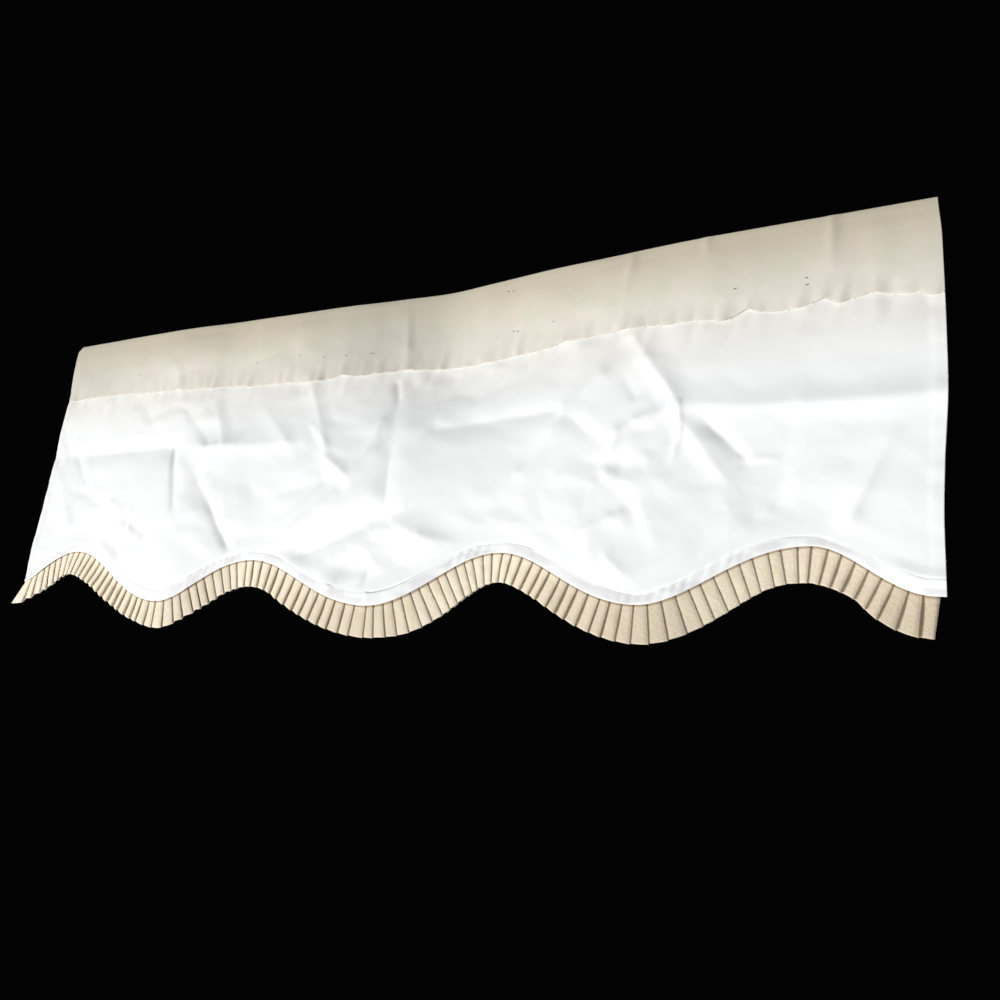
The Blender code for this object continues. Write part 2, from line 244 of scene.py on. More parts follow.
RIGHT_SIDE = Curve.through(
    (-5, -2), (40, 0.9), (170, 2.8), (240, -0.8), (290, -2.2), (350, -1.5),
)

SWAY = Curve.through(
    (-600, 1), (-483, -2), (-304, 4), (-150, -3), (32, 4), (194, -3), (336, 3),
    (488, -2), (600, 3),
)

BOW = Curve.through(
    (-380, 0), (-219, 8), (-62, 14), (14, 20), (73, 24), (139, 18), (225, 9),
    (305, 4), (400, 0),
)

BOW_SHARES = Curve.through((0, 1), (90, 1.1), (175, 0.4), (260, 0))

LOOSENESS = Curve.through(
    (-600, 1), (-530, 0.8), (-500, 0), (-295, 0), (-265, 0.5), (-225, 0.5), (-190, 0),
)

HEM_DEPTHS = Curve.through(
    (-600, 12), (-483, 9), (-304, 15), (-150, 9), (32, 14), (100, 12), (194, 10), (270, 11),
    (336, 9.5), (440, 10), (488, 7.5), (540, 9), (565, 12.5), (592, 13),
)

WAVE = table(
    Turn,
    (-612, 366.5, 0, 0), (-483, 317.5, -2.5, 9), (-300, 381.5, -5.5, 15),
    (-150, 326, -7, 12), (32, 375.5, -7.5, 13), (190, 315.2, 2, 15), (336, 363.5, -5, 13),
    (488, 308, -4.5, 13), (584, 348.5, -2.5, 9), (640, 349.5, 0, 0),
)

TRIM_SHARES = Curve.through(
    (-600, 1.04), (-575, 1.1), (-545, 1.1), (-495, 0.94), (-440, 0.98), (-400, 0.99),
    (-370, 0.93), (-330, 0.9), (-290, 1.02), (-264, 0.96), (-227, 1), (-188, 0.96),
    (-150, 0.95), (-112, 0.96), (-85, 1.04), (-10, 1), (45, 1.04), (77, 1.16), (105, 1.12),
    (150, 1), (194, 0.89), (300, 1), (352, 1.08), (400, 1.03), (460, 0.91), (500, 0.94),
    (515, 0.89), (533, 0.83), (547, 0.91), (568, 1.03), (590, 1),
)

TRIM_LEANS = Curve.through(
    (-590, -38), (-576, -28), (-563, -21), (-548, -16), (-525, -12), (-450, -10),
    (-410, -4), (-370, 0), (60, 0), (100, 4), (165, -2), (215, -2), (260, 0),
    (380, -1), (440, -3), (510, 2), (530, 2.5), (550, 0.5), (562, 2.5), (574, 4.5),
    (590, -2),
)

# Painted shade along the strip and along the band: how much darker each is along its length,
# standing in for how the light falls along them.
TRIM_PAINTED_SHADE = Curve.through(
    (-590, 0), (-480, 0), (-400, 0.08), (-300, 0.08), (-262, 0.2), (-205, 0.16), (-165, 0),
    (-60, 0.23), (40, 0.32), (130, 0.08), (200, 0.08), (270, 0.31), (350, 0.41), (420, 0.19),
    (480, 0.22), (540, 0.36), (577, 0.47), (590, 0.5),
)

# painted shade along the heading band, darkest in the middle
BAND_PAINTED_SHADE = Curve.through(
    (-590, 0.3), (-520, 0.24), (-430, 0.05), (-300, 0), (-220, 0), (-120, 0.16), (-20, 0.46),
    (60, 0.38), (140, 0.06), (300, 0), (590, 0),
)

HEM_OPENNESS = Curve.through(
    (-600, 0.05), (-340, 0.1), (-300, 0.7), (-250, 0.8), (-220, 0.2), (-150, 0.2), (-110, 0.3),
    (-60, 0.7), (0, 1), (60, 1), (110, 0.5), (130, 0.15), (158, 0.35), (190, 0.15),
    (215, 0.25), (240, 0.4), (265, 0.15), (335, 0.3), (372, 0.4), (400, 0.15), (440, 0.12),
    (480, 0.25), (505, 0.08), (548, 0.08), (575, 1), (592, 0.9),
)

MAIN_CREASES = table(
    Crease,
    # the storage crease: it turns over in each quarter of the cloth
    (-600, 177, -325, 174, -1.6, -2.6, 26, 32), (-275, 178, -100, 179, 2.6, 1.6, 30, 28),
    (88, 174, 238, 166, -2.2, -2.8, 24, 30), (375, 174.5, 480, 180, 2.4, 2.6, 28, 26, 2),
    (480, 180, 600, 181, 2.6, 2.8, 28, 26, 1.6),
    # the upright crease in the middle, and the three that spread out from its foot
    (22, 94, 33, 200, -0.6, -1.4, 22, 24, 3), (33, 200, 40, 276, -1.4, -2.8, 22, 24),
    (40, 276, -85, 324, -5.5, -4.5, 46, 34), (40, 276, -14, 345, -5, -4, 34, 40),
    (42, 276, 135, 322, 3.2, 1.6, 32, 34),
    # short creases across the left half
    (-583, 175, -515, 280, 0.6, 1, 18, 22, 3), (-324, 172, -301, 258, -1.6, -1, 20, 18),
    (-272, 220, -193, 312, -2.2, -1.6, 24, 26), (-110, 97, -64, 188, 1.4, 1.4, 20, 22),
    # the knot of creases at the right quarter
    (316, 94, 368, 172, 2, 3, 24, 20), (246, 168, 306, 218, -2.5, -0.8, 18, 28, 1.6),
    (247, 168, 208, 232, 3, 1.4, 24, 18), (372, 188, 416, 250, 2.8, 1.6, 28, 20),
    (310, 220, 324, 257, -1.2, -0.8, 22, 24, 3), (553, 210, 516, 288, 0.3, 1.3, 16, 20),
)

FINE_CREASES = table(
    Crease,
    # round the upright crease in the middle
    (-58, 203, -20, 228, 1.1, 1.3, 14, 16, 1), (-20, 228, 12, 194, 1.3, 0.8, 16, 14, 1),
    (-110, 272, -60, 228, -0.3, -1, 16, 16, 2), (-102, 297, -37, 250, 0.9, 0.4, 14, 16, 1),
    (18, 110, 26, 132, -0.8, -0.5, 8, 10, 1), (92, 298, 132, 306, 0.8, 0.6, 14, 14, 1),
    (30, 336, 25, 360, -0.8, -0.6, 8, 8, 1), (-4, 352, 18, 344, 0.6, 0.5, 8, 10, 1),
    # across the left half
    (-238, 258, -195, 312, -0.5, -1.2, 12, 11, 1), (-328, 174, -304, 256, -0.8, -0.5, 7, 8, 1),
    (-395, 272, -352, 292, -0.8, -0.6, 14, 14, 1), (-430, 250, -404, 262, 0.6, 0.5, 14, 14, 1),
    (-425, 300, -400, 320, -0.4, -0.6, 14, 14, 4),
    (-415, 102, -385, 128, -0.3, -0.5, 16, 14, 4),
    (-385, 128, -350, 118, -0.5, -0.2, 14, 16, 4), (-350, 56, -322, 108, 0.2, 0.4, 12, 14, 3),
    (-306, 128, -262, 172, -0.3, -0.7, 16, 16, 3), (-262, 120, -232, 176, 0.3, 0.8, 16, 16, 3),
    (-175, 132, -128, 176, 0.2, 0.7, 18, 18, 3), (-590, 130, -560, 176, 0.2, 0.6, 16, 16, 3),
    (-528, 180, -500, 214, -0.5, -0.4, 14, 14, 3),
    # above the hem at the left trough
    (-347, 352, -345, 362, -0.6, -0.8, 3, 4, 0.8), (-292, 374, -262, 360, -0.9, -0.6, 4, 5, 0.8),
    (-276, 369, -252, 355, -0.5, -0.6, 4, 5, 0.8), (-92, 158, -66, 182, 0.3, 0.5, 8, 9, 1.6),
    # round the knot at the right quarter
    (285, 131, 246, 164, 1.3, 1.2, 20, 22, 1), (300, 216, 308, 196, 0.9, 1, 12, 12, 1),
    (308, 196, 326, 186, 1, 1, 12, 12, 1), (326, 186, 362, 176, 1, 0.8, 12, 12, 1),
    (368, 172, 370, 200, 0.9, 0.8, 5, 7, 0.8), (370, 200, 365, 224, 0.8, 0.4, 5, 7, 0.8),
    (398, 194, 430, 228, -1.2, -0.9, 12, 14, 1), (425, 228, 456, 229, 0.5, 0.3, 5, 6, 0.8),
    (312, 142, 322, 158, -0.4, -0.5, 12, 12, 2), (200, 232, 172, 258, 0.8, 0.4, 16, 16, 1),
    (246, 168, 254, 172, 0.7, 0.5, 4, 5, 0.8), (404, 328, 441, 285, -1.2, -0.3, 12, 16, 1.4),
    (430, 318, 470, 285, 0.9, 0.2, 12, 14, 1.4), (468, 200, 462, 262, -0.2, -0.5, 14, 22, 4),
    (372, 340, 394, 318, -0.9, -0.7, 5, 6, 0.8), (478, 305, 486, 296, -0.7, -0.4, 4, 5, 0.8),
    (331, 345, 340, 356, -0.7, -0.5, 5, 6, 0.9), (262, 262, 286, 300, 0.4, 0.5, 18, 18, 4),
    (270, 296, 316, 278, 0.6, 0.8, 8, 16, 1.6), (336, 268, 352, 300, 0.5, 0.3, 16, 16, 3),
    (226, 268, 250, 300, -0.3, -0.4, 16, 16, 4), (282, 272, 284, 308, 0.3, 0.5, 24, 12, 3),
    (306, 322, 330, 344, 0.8, 0.8, 16, 6, 0.8), (292, 218, 300, 238, 0.3, 0.5, 16, 10, 1.6),
    (322, 248, 336, 268, 0.5, 0.4, 20, 12, 2), (553, 208, 518, 289, 0.1, 0.8, 12, 26, 0.8),
    (-268, 178, -215, 176, 0.8, 0.5, 24, 8, 0.8), (12, 160, -4, 205, 0.5, 0.7, 16, 10, 1.6),
    # in the heading
    (20, 8, 27, 66, 0, 0.7, 9, 12, 2), (311, 10, 303, 50, 0.7, 0.1, 10, 10, 2),
    (503, 6, 502, 48, 0.7, 0.1, 9, 9, 2), (388, 4, 388, 20, 0.6, 0.1, 7, 7, 1.6),
    (-388, 268, -380, 292, 0.7, 0.6, 16, 6, 0.8),
)

CRUMPLES = table(
    Crumple,
    (305, 262, 65, 1.7), (360, 200, 50, 1.5), (-230, 268, 55, 1.2), (20, 320, 65, 1.4),
    (440, 300, 42, 1.8), (-300, 130, 60, 1.1), (-50, 200, 60, 1.1), (190, 300, 50, 1.2),
    (110, 135, 50, 0.8), (520, 250, 60, 0.7), (-470, 255, 70, 0.6),
)

TUCKS = table(
    Tuck,
    (-343, 9, 1.5, 1.4), (-275, 8, -1, 1), (-214, 10, -1.5, 1.2), (-152, 8, 1, 0.9),
    (-99, 9, 0.5, 1.2), (-64, 10, 3, 1.5), (-34, 9, -1, 1.1), (29, 12, 1.5, 1.8),
    (74, 9, -1, 1.2), (136, 11, 1, 1.4), (178, 9, -1.2, 1.1), (236, 8, 1, 1),
    (304, 10, 1.5, 2), (352, 8, -0.8, 0.8), (407, 12, -4.5, 2), (429, 9, 4, 1.6),
    (474, 9, -1.5, 1.4), (496, 9, 3.5, 1.9), (509, 7, -3.5, 1.4), (536, 12, 3, 1.5),
    (583, 8, -2, 1),
)

PIN_MARKS = (
    (-423, 61), (-206, 62), (-133, 60), (-95, 66), (-61, 67), (-25, 67), (-21, 67), (160, 14),
    (167, 15), (171, 64), (177, 65), (223, 63), (417, 61), (481, 60), (482, 67),
)


# ---- the form in which the cloth hangs


@dataclass(frozen=True)
class HangingForm:
    """How the valance hangs: its outline, its slow bends and its main creases."""

    width: float = 1180.0
    side_reach: float = 45.0
    sway_depth: float = 360.0
    hem_depth: float = 11.5
    fade_at_hem: float = 26.0
    fine_share: float = 2.0
    gathers: float = 0.9
    gather_drop: float = 5.0
    gather_reach: float = 17.0
    calm_top: float = 60.0
    corner: float = 11.0

    def lower_edge(self, x: Array) -> Array:
        """The drop of the cloth's lower edge at many places along it.

        Args:
            x: places along the valance.

        Returns:
            The drops there.
        """
        x = np.asarray(x, dtype=float)
        turns = np.array([turn[:3] for turn in WAVE])
        i = np.clip(np.searchsorted(turns[:, 0], x) - 1, 0, len(WAVE) - 2)
        start, end = turns[i], turns[i + 1]
        length = end[..., 0] - start[..., 0]
        t = np.clip((x - start[..., 0]) / length, 0.0, 1.0)
        t = t - end[..., 2] / length * np.sin(math.pi * t)
        rise = (1.0 - np.cos(math.pi * t)) / 2.0
        return start[..., 1] + (end[..., 1] - start[..., 1]) * rise

    def edge_slope(self, x: Array, reach: float = 2.0) -> Array:
        """How steeply the lower edge falls to the right, read over a reach to each side."""
        return (self.lower_edge(x + reach) - self.lower_edge(x - reach)) / (2.0 * reach)

    def sway(self, x: Array, drop: Array) -> Array:
        """The cloth's slow swing outward, which grows downwards."""
        return SWAY.at(x) * (np.maximum(drop, 0.0) / self.sway_depth) ** 1.5

    def bow(self, x: Array, drop: Array) -> Array:
        """How far the upper half lies back from the viewer."""
        return BOW.at(x) * BOW_SHARES.at(drop)

    def crease_height(self, creases: Sequence[Crease], x: Array, drop: Array) -> Array:
        """Join creases, so that those that meet don't pile up.

        Args:
            creases: the rows of a crease table.
            x: places along the valance.
            drop: drops that go with x.

        Returns:
            The creases' height outward at each point.
        """
        ridges, troughs = np.zeros((2, *np.broadcast(x, drop).shape))
        for row in creases:
            run, fall = row.x2 - row.x1, row.drop2 - row.drop1
            from_x, from_drop = x - row.x1, drop - row.drop1
            t = np.clip((from_x * run + from_drop * fall) / (run * run + fall * fall), 0.0, 1.0)
            distance = np.hypot(from_x - run * t, from_drop - fall * t)
            width = np.where(run * from_drop - fall * from_x < 0.0, row.left, row.right)
            softened = np.hypot(distance, row.crisp) - row.crisp
            share = np.maximum(1.0 - softened / width, 0.0)
            height = (row.height1 + (row.height2 - row.height1) * t) * share * share
            ridges += np.maximum(height, 0.0) ** 3
            troughs += np.maximum(-height, 0.0) ** 3
        return np.cbrt(ridges) - np.cbrt(troughs)

    def outward(self, x: Array, drop: Array) -> Array:
        """How far the cloth's middle surface stands outward, with its main creases.

        Args:
            x: places along the valance.
            drop: drops that go with x.

        Returns:
            The distance outward at each point.
        """
        near_hem = fade((self.lower_edge(x) - self.hem_depth - drop) / self.fade_at_hem)
        creases = self.crease_height(MAIN_CREASES, x, drop)
        return self.sway(x, drop) - self.bow(x, drop) + creases * near_hem

    def small_relief(self, x: Array, drop: Array) -> Array:
        """The small relief that the solid leaves out, which the band and the panel share.

        Args:
            x: places along the valance.
            drop: drops that go with x.

        Returns:
            Its height outward: fine creases, crushed places, gathers at the seam and soft
            unevenness.
        """
        fine = self.fine_share * self.crease_height(FINE_CREASES, x, drop)
        large = Unevenness(7, 58, 46).facets(x, drop)
        small = Unevenness(19, 27, 22).facets(x, -drop)
        tiny = Unevenness(107, 15, 13).facets(-x, drop)
        crushed = np.zeros_like(fine)
        for place in CRUMPLES:
            away = np.hypot(x - place.x, drop - place.drop) / place.reach
            crushed += place.height * np.exp(-away * away)
        soft = 0.9 * Unevenness(3, 95, 70).at(x, drop) + (0.75 + 0.6 * crushed) * large
        soft = soft + (0.25 + 0.75 * crushed) * small + (0.06 + 0.16 * crushed) * tiny
        from_seam = (drop - BAND_LINE.at(x) - self.gather_drop) / self.gather_reach
        gathers = Unevenness(127, 9, 24).at(x + 0.5 * drop, drop) * np.exp(-(from_seam**2))
        return fine + soft * fade(drop / self.calm_top) + self.gathers * gathers

    def side_shift(self, x: Array, drop: Array) -> Array:
        """How far the uneven side edges and the rounded top left corner push a point sideways.

        Args:
            x: places along the valance.
            drop: drops that go with x.

        Returns:
            The shift to the right.
        """
        from_arc = np.clip(self.corner - drop, 0.0, self.corner)
        rounding = self.corner - np.sqrt(self.corner**2 - from_arc**2)
        left = fade(1.0 - (x + self.width / 2) / self.side_reach) * (rounding - LEFT_SIDE.at(drop))
        right = fade(1.0 - (self.width / 2 - x) / self.side_reach) * RIGHT_SIDE.at(drop)
        return left + right

    def place(self, x: Array, drop: Array, outward: Array) -> Array:
        """Turn places into points of the part's frame.

        Args:
            x: places along the valance.
            drop: drops that go with x.
            outward: how far each point stands outward.

        Returns:
            The points in metres, with their three coordinates in the last axis.
        """
        at_origin = self.bow(np.zeros(1), np.zeros(1))[0]
        x, drop, outward = np.broadcast_arrays(x, drop, outward)
        return np.stack((x, -outward - at_origin, -drop), axis=-1) * MM


# ---- finishes


class Weave(Enum):
    """How a cloth's threads cross: how much of the relief runs along, and across, the cloth."""

    SATIN = (1.0, 0.25)
    PLAIN = (0.7, 0.7)
    CANVAS = (1.0, 1.0)


# The scale of a wave texture whose waves are one unit apart.
WAVE_PERIOD = 0.314


class NodeBench:
    """Lays out the nodes of one material."""

    UNEVEN = {"Distortion": 0.6, "Detail": 1.0}

    def __init__(self, name: str) -> None:
        """Start a material whose shader stands ready.

        Args:
            name: the material's name.
        """
        self.material = bpy.data.materials.new(name)
        self.material.use_nodes = True
        self.tree = self.material.node_tree
        self.shader = self.tree.nodes["Principled BSDF"]

    def fill(self, node: bpy.types.Node, inputs: dict[str | int, object]) -> None:
        """Give a node's sockets their values, or link them to outputs.

        Args:
            node: the node.
            inputs: values or outputs, by socket name or number.
        """
        for name, value in inputs.items():
            if isinstance(value, Socket):
                self.tree.links.new(value, node.inputs[name])
            else:
                node.inputs[name].default_value = value

    def add(
        self, kind: str, inputs: dict[str | int, object], output: str | int = 0, **settings: object
    ) -> Socket:
        """Add a node.

        Args:
            kind: the node's type name.
            inputs: values or outputs for its sockets, by socket name or number.
            output: the name or number of the output that is wanted.
            settings: values for the node's own properties.

        Returns:
            The wanted output of the new node.
        """
        node = self.tree.nodes.new(kind)
        for name, value in settings.items():
            setattr(node, name, value)
        self.fill(node, inputs)
        return node.outputs[output]

    def math(self, operation: str, first: object, second: object) -> Socket:
        """Join two numbers or outputs with one operation."""
        return self.add("ShaderNodeMath", {0: first, 1: second}, operation=operation)

    def noise(
        self, place: Socket, grain: float, detail: float = 2.0, rough: float = 0.55
    ) -> Socket:
        """Noise whose patches are about a grain across, as an output from 0 to 1."""
        wanted = {"Vector": place, "Scale": 1.0 / grain, "Detail": detail, "Roughness": rough}
        return self.add("ShaderNodeTexNoise", wanted, "Fac")

    def ramp(
        self, value: Socket, ends: tuple[float, float], low: float, high: float, **how: str
    ) -> Socket:
        """Stretch an output from between two ends to low..high, held at the ends."""
        wanted = {"Value": value, 1: ends[0], 2: ends[1], 3: low, 4: high}
        return self.add("ShaderNodeMapRange", wanted, **how)

    def spread(self, value: Socket, low: float, high: float) -> Socket:
        """Stretch noise or a wave, whose values mostly lie from 0.3 to 0.7, to low..high."""
        return self.ramp(value, (0.3, 0.7), low, high)

    def mix(self, share: Socket, first: object, second: object) -> Socket:
        """Mix two colours by a share."""
        wanted = {0: share, 6: first, 7: second}
        return self.add("ShaderNodeMix", wanted, 2, data_type="RGBA")

    def wave(self, place: Socket, scale: float, axis: str) -> Socket:
        """Slightly uneven waves across the X or Y axis, as an output from 0 to 1."""
        wanted = {"Vector": place, "Scale": scale, "Detail Scale": 0.4} | self.UNEVEN
        return self.add("ShaderNodeTexWave", wanted, "Fac", bands_direction=axis)

    def bump(self, height: Socket, strength: float, distance: float, **more: object) -> Socket:
        """Relief from a height, on top of more's Normal if that is given."""
        wanted = {"Strength": strength, "Distance": distance, "Height": height}
        return self.add("ShaderNodeBump", wanted | more)

    def finished(self, colour: Colour, inputs: dict[str, object]) -> bpy.types.Material:
        """Fill the shader's sockets, set the plain colour and return the material.

        Args:
            colour: the plain colour, for a view without shaders.
            inputs: values or outputs for the shader's sockets, by name.

        Returns:
            The material.
        """
        self.fill(self.shader, inputs)
        self.material.diffuse_color = colour
        return self.material


def darker(colour: Colour, share: float) -> Colour:
    """A colour at a share of its brightness."""
    return (*(share * c for c in colour[:3]), 1.0)


@dataclass(frozen=True)
class ClothFinish:
    """A woven cloth's finish, on coordinates in millimetres of the cut cloth."""

    name: str
    slot: str
    weave: Weave
    light: Colour
    deep: Colour
    thread: float
    relief: float
    roughness: float
    sheen: float
    patch: float
    crinkle: float
    crinkle_size: float = 7.0
    crinkle_height: float = 0.0012
    thread_height: float = 0.0003
    gap_shade: float = 0.16
    slub: float = 0.35
    # painted shade near the top of what shows, and where it begins and ends on the cut cloth
    painted_top_shade: Colour | None = None
    painted_top_shade_ends: tuple[float, float] = (-78.0, -2.0)
    # the colour of the painted shade that shares stored on the mesh lay on the cloth's front
    painted_shade: Colour = (0.45, 0.42, 0.37, 1.0)
    blush: Colour | None = None
    fleck: float = 0.0

    def material(self) -> bpy.types.Material:
        """Build the material.

        Returns:
            A Principled material with woven threads, slubs, soft patches and fine crinkles.
        """
        bench = NodeBench(self.name)
        cut = bench.add("ShaderNodeUVMap", {}, uv_map="cut")
        along, across = self.weave.value
        period = WAVE_PERIOD / self.thread
        warp = bench.math("MULTIPLY", bench.wave(cut, period, "X"), along * 0.5)
        weft = bench.math("MULTIPLY", bench.wave(cut, period * 0.92, "Y"), across * 0.5)
        threads = bench.math("ADD", warp, weft)
        gaps = bench.spread(threads, self.gap_shade, 0.0)
        rough = bench.noise(cut, self.patch * 0.4)
        crinkles = bench.noise(cut, self.crinkle_size, 4.0)
        woven = bench.bump(threads, self.relief, self.thread_height)
        return bench.finished(
            self.light,
            {
                "Base Color": bench.mix(gaps, self.coloured(bench, cut), darker(self.deep, 0.72)),
                "Roughness": bench.spread(rough, self.roughness - 0.06, self.roughness + 0.06),
                "Normal": bench.bump(crinkles, self.crinkle, self.crinkle_height, Normal=woven),
                "Sheen Weight": self.sheen,
                "Sheen Roughness": 0.45,
                "Specular IOR Level": 0.35,
            },
        )

    def coloured(self, bench: NodeBench, cut: Socket) -> Socket:
        """Colour the cloth between its threads' gaps.

        Args:
            bench: the material's nodes.
            cut: the places on the cut cloth.

        Returns:
            The colour: slubs and patches, blush, painted shade near the top, flecks, and the
                painted shade that the mesh lays on.
        """
        stretched = bench.add("ShaderNodeMapping", {"Vector": cut, "Scale": (1.0, 0.12, 1.0)})
        slubs = bench.spread(bench.noise(stretched, self.thread * 2.4, 3.0), 0.0, 1.0)
        patches = bench.spread(bench.noise(cut, self.patch), 0.0, 1.0 - self.slub)
        share = bench.math("ADD", bench.math("MULTIPLY", slubs, self.slub), patches)
        base = bench.mix(share, self.light, self.deep)
        if self.blush:
            aside = {"Vector": cut, "Location": (610.0, 170.0, 0.0)}
            noise = bench.noise(bench.add("ShaderNodeMapping", aside), self.patch * 1.3, 1.0)
            base = bench.mix(bench.spread(noise, 0.0, 1.0), base, self.blush)
        # painted shade towards the top: the band darkens towards its top fold, the white cloth just
        # under the band
        if self.painted_top_shade:
            height = bench.add("ShaderNodeSeparateXYZ", {0: cut}, 1)
            near_top = bench.ramp(height, self.painted_top_shade_ends, 0.0, 1.0, interpolation_type="SMOOTHSTEP")
            base = bench.mix(near_top, base, self.painted_top_shade)
        if self.fleck:
            specks = bench.noise(cut, self.thread * 1.6)
            specks = bench.spread(specks, -2.0 * self.fleck, self.fleck)
            base = bench.mix(specks, base, darker(self.deep, 0.6))
        # painted shade: mix towards the shade colour by the share stored on the mesh, on the front
        # alone
        return bench.mix(self.painted_shade_share(bench), base, self.painted_shade)

    def painted_shade_share(self, bench: NodeBench) -> Socket:
        """How much painted shade the cloth takes, from 0 to 1: as its mesh says, and on its front
        alone.

        Args:
            bench: the material's nodes.

        Returns:
            The output.
        """
        stored = bench.add("ShaderNodeAttribute", {}, "Fac", attribute_name="painted_shade")
        normal = bench.add("ShaderNodeNewGeometry", {}, "Normal")
        facing = bench.add("ShaderNodeSeparateXYZ", {0: normal}, 1)
        return bench.math("MULTIPLY", stored, bench.ramp(facing, (-0.2, 0.1), 1.0, 0.0))


@dataclass(frozen=True)
class PlainFinish:
    """The finish of a small or far thing: a colour with faint patches and a fine grain."""

    name: str
    colour: Colour
    roughness: float
    grain: float
    variation: float = 0.12

    def material(self) -> bpy.types.Material:
        """Build the material.

        Returns:
            A Principled material whose patches and relief follow the grain, in metres.
        """
        bench = NodeBench(self.name)
        where = bench.add("ShaderNodeTexCoord", {}, "Object")
        patches = bench.noise(where, self.grain, 3.0, 0.5)
        tone, deep = bench.spread(patches, 0.0, 1.0), darker(self.colour, 1.0 - self.variation)
        return bench.finished(
            self.colour,
            {
                "Base Color": bench.mix(tone, self.colour, deep),
                "Normal": bench.bump(patches, 0.1, 0.0002),
                "Roughness": self.roughness,
            },
        )


WHITE_SATIN = ClothFinish(
    name="white_satin",
    slot="white_cloth",
    weave=Weave.SATIN,
    light=(0.955, 0.960, 0.965, 1.0),
    deep=(0.925, 0.930, 0.935, 1.0),
    thread=0.45,
    relief=0.10,
    roughness=0.46,
    sheen=0.25,
    patch=70.0,
    crinkle=0.10,
    # warm painted shade just under the heading band
    painted_top_shade=(0.850, 0.840, 0.785, 1.0),
    painted_top_shade_ends=(-152.0, -92.0),
    # lavender-grey painted shade for the turned hem
    painted_shade=(0.600, 0.585, 0.615, 1.0),
)

OFF_WHITE_COTTON = ClothFinish(
    name="off_white_cotton",
    slot="heading_cotton",
    weave=Weave.PLAIN,
    light=(0.775, 0.752, 0.655, 1.0),
    deep=(0.700, 0.672, 0.570, 1.0),
    thread=0.6,
    relief=0.22,
    roughness=0.82,
    sheen=0.15,
    patch=34.0,
    crinkle=0.16,
    # painted shade, darker towards the band's top fold
    painted_top_shade=(0.585, 0.520, 0.400, 1.0),
    blush=(0.800, 0.730, 0.665, 1.0),
)

BEIGE_CANVAS = ClothFinish(
    name="beige_canvas",
    slot="trim_canvas",
    weave=Weave.CANVAS,
    light=(0.985, 0.900, 0.700, 1.0),
    deep=(0.955, 0.850, 0.630, 1.0),
    thread=0.8,
    relief=0.6,
    roughness=0.88,
    sheen=0.15,
    patch=16.0,
    slub=0.5,
    crinkle=0.45,
    crinkle_size=3.2,
    # dark brown painted shade for the fold lines and the crack under the hem
    painted_shade=(0.220, 0.138, 0.062, 1.0),
    blush=(0.985, 0.865, 0.715, 1.0),
    fleck=0.22,
)

WHITE_THREAD = PlainFinish("white_thread", (0.90, 0.89, 0.85, 1.0), 0.6, 0.0008)
BEIGE_THREAD = PlainFinish("beige_thread", (0.66, 0.57, 0.42, 1.0), 0.7, 0.0008)
PIN_STAIN = PlainFinish("pin_stain", (0.10, 0.11, 0.12, 1.0), 0.7, 0.0006, variation=0.4)
PALE_FLOOR = PlainFinish("pale_floor", (0.72, 0.71, 0.69, 1.0), 0.75, 0.03, variation=0.02)


# ---- cloth pieces


def add_to_scene(name: str, data: bpy.types.ID | None) -> Piece:
    """Make an object of some data and link it to the scene.

    Args:
        name: the object's name.
        data: its mesh, light or camera.

    Returns:
        The object.
    """
    made = bpy.data.objects.new(name, data)
    bpy.context.scene.collection.objects.link(made)
    return made


def meshed(
    name: str, points: Sequence, faces: Sequence, material: bpy.types.Material
) -> Piece:
    """Make a smooth mesh object of points and faces, with its material.

    Args:
        name: the object's name.
        points: its points in metres.
        faces: the points of each face, by number.
        material: its material.

    Returns:
        The object.
    """
    mesh = bpy.data.meshes.new(name)
    mesh.from_pydata(points, [], faces)
    mesh.shade_smooth()
    mesh.materials.append(material)
    return add_to_scene(name, mesh)


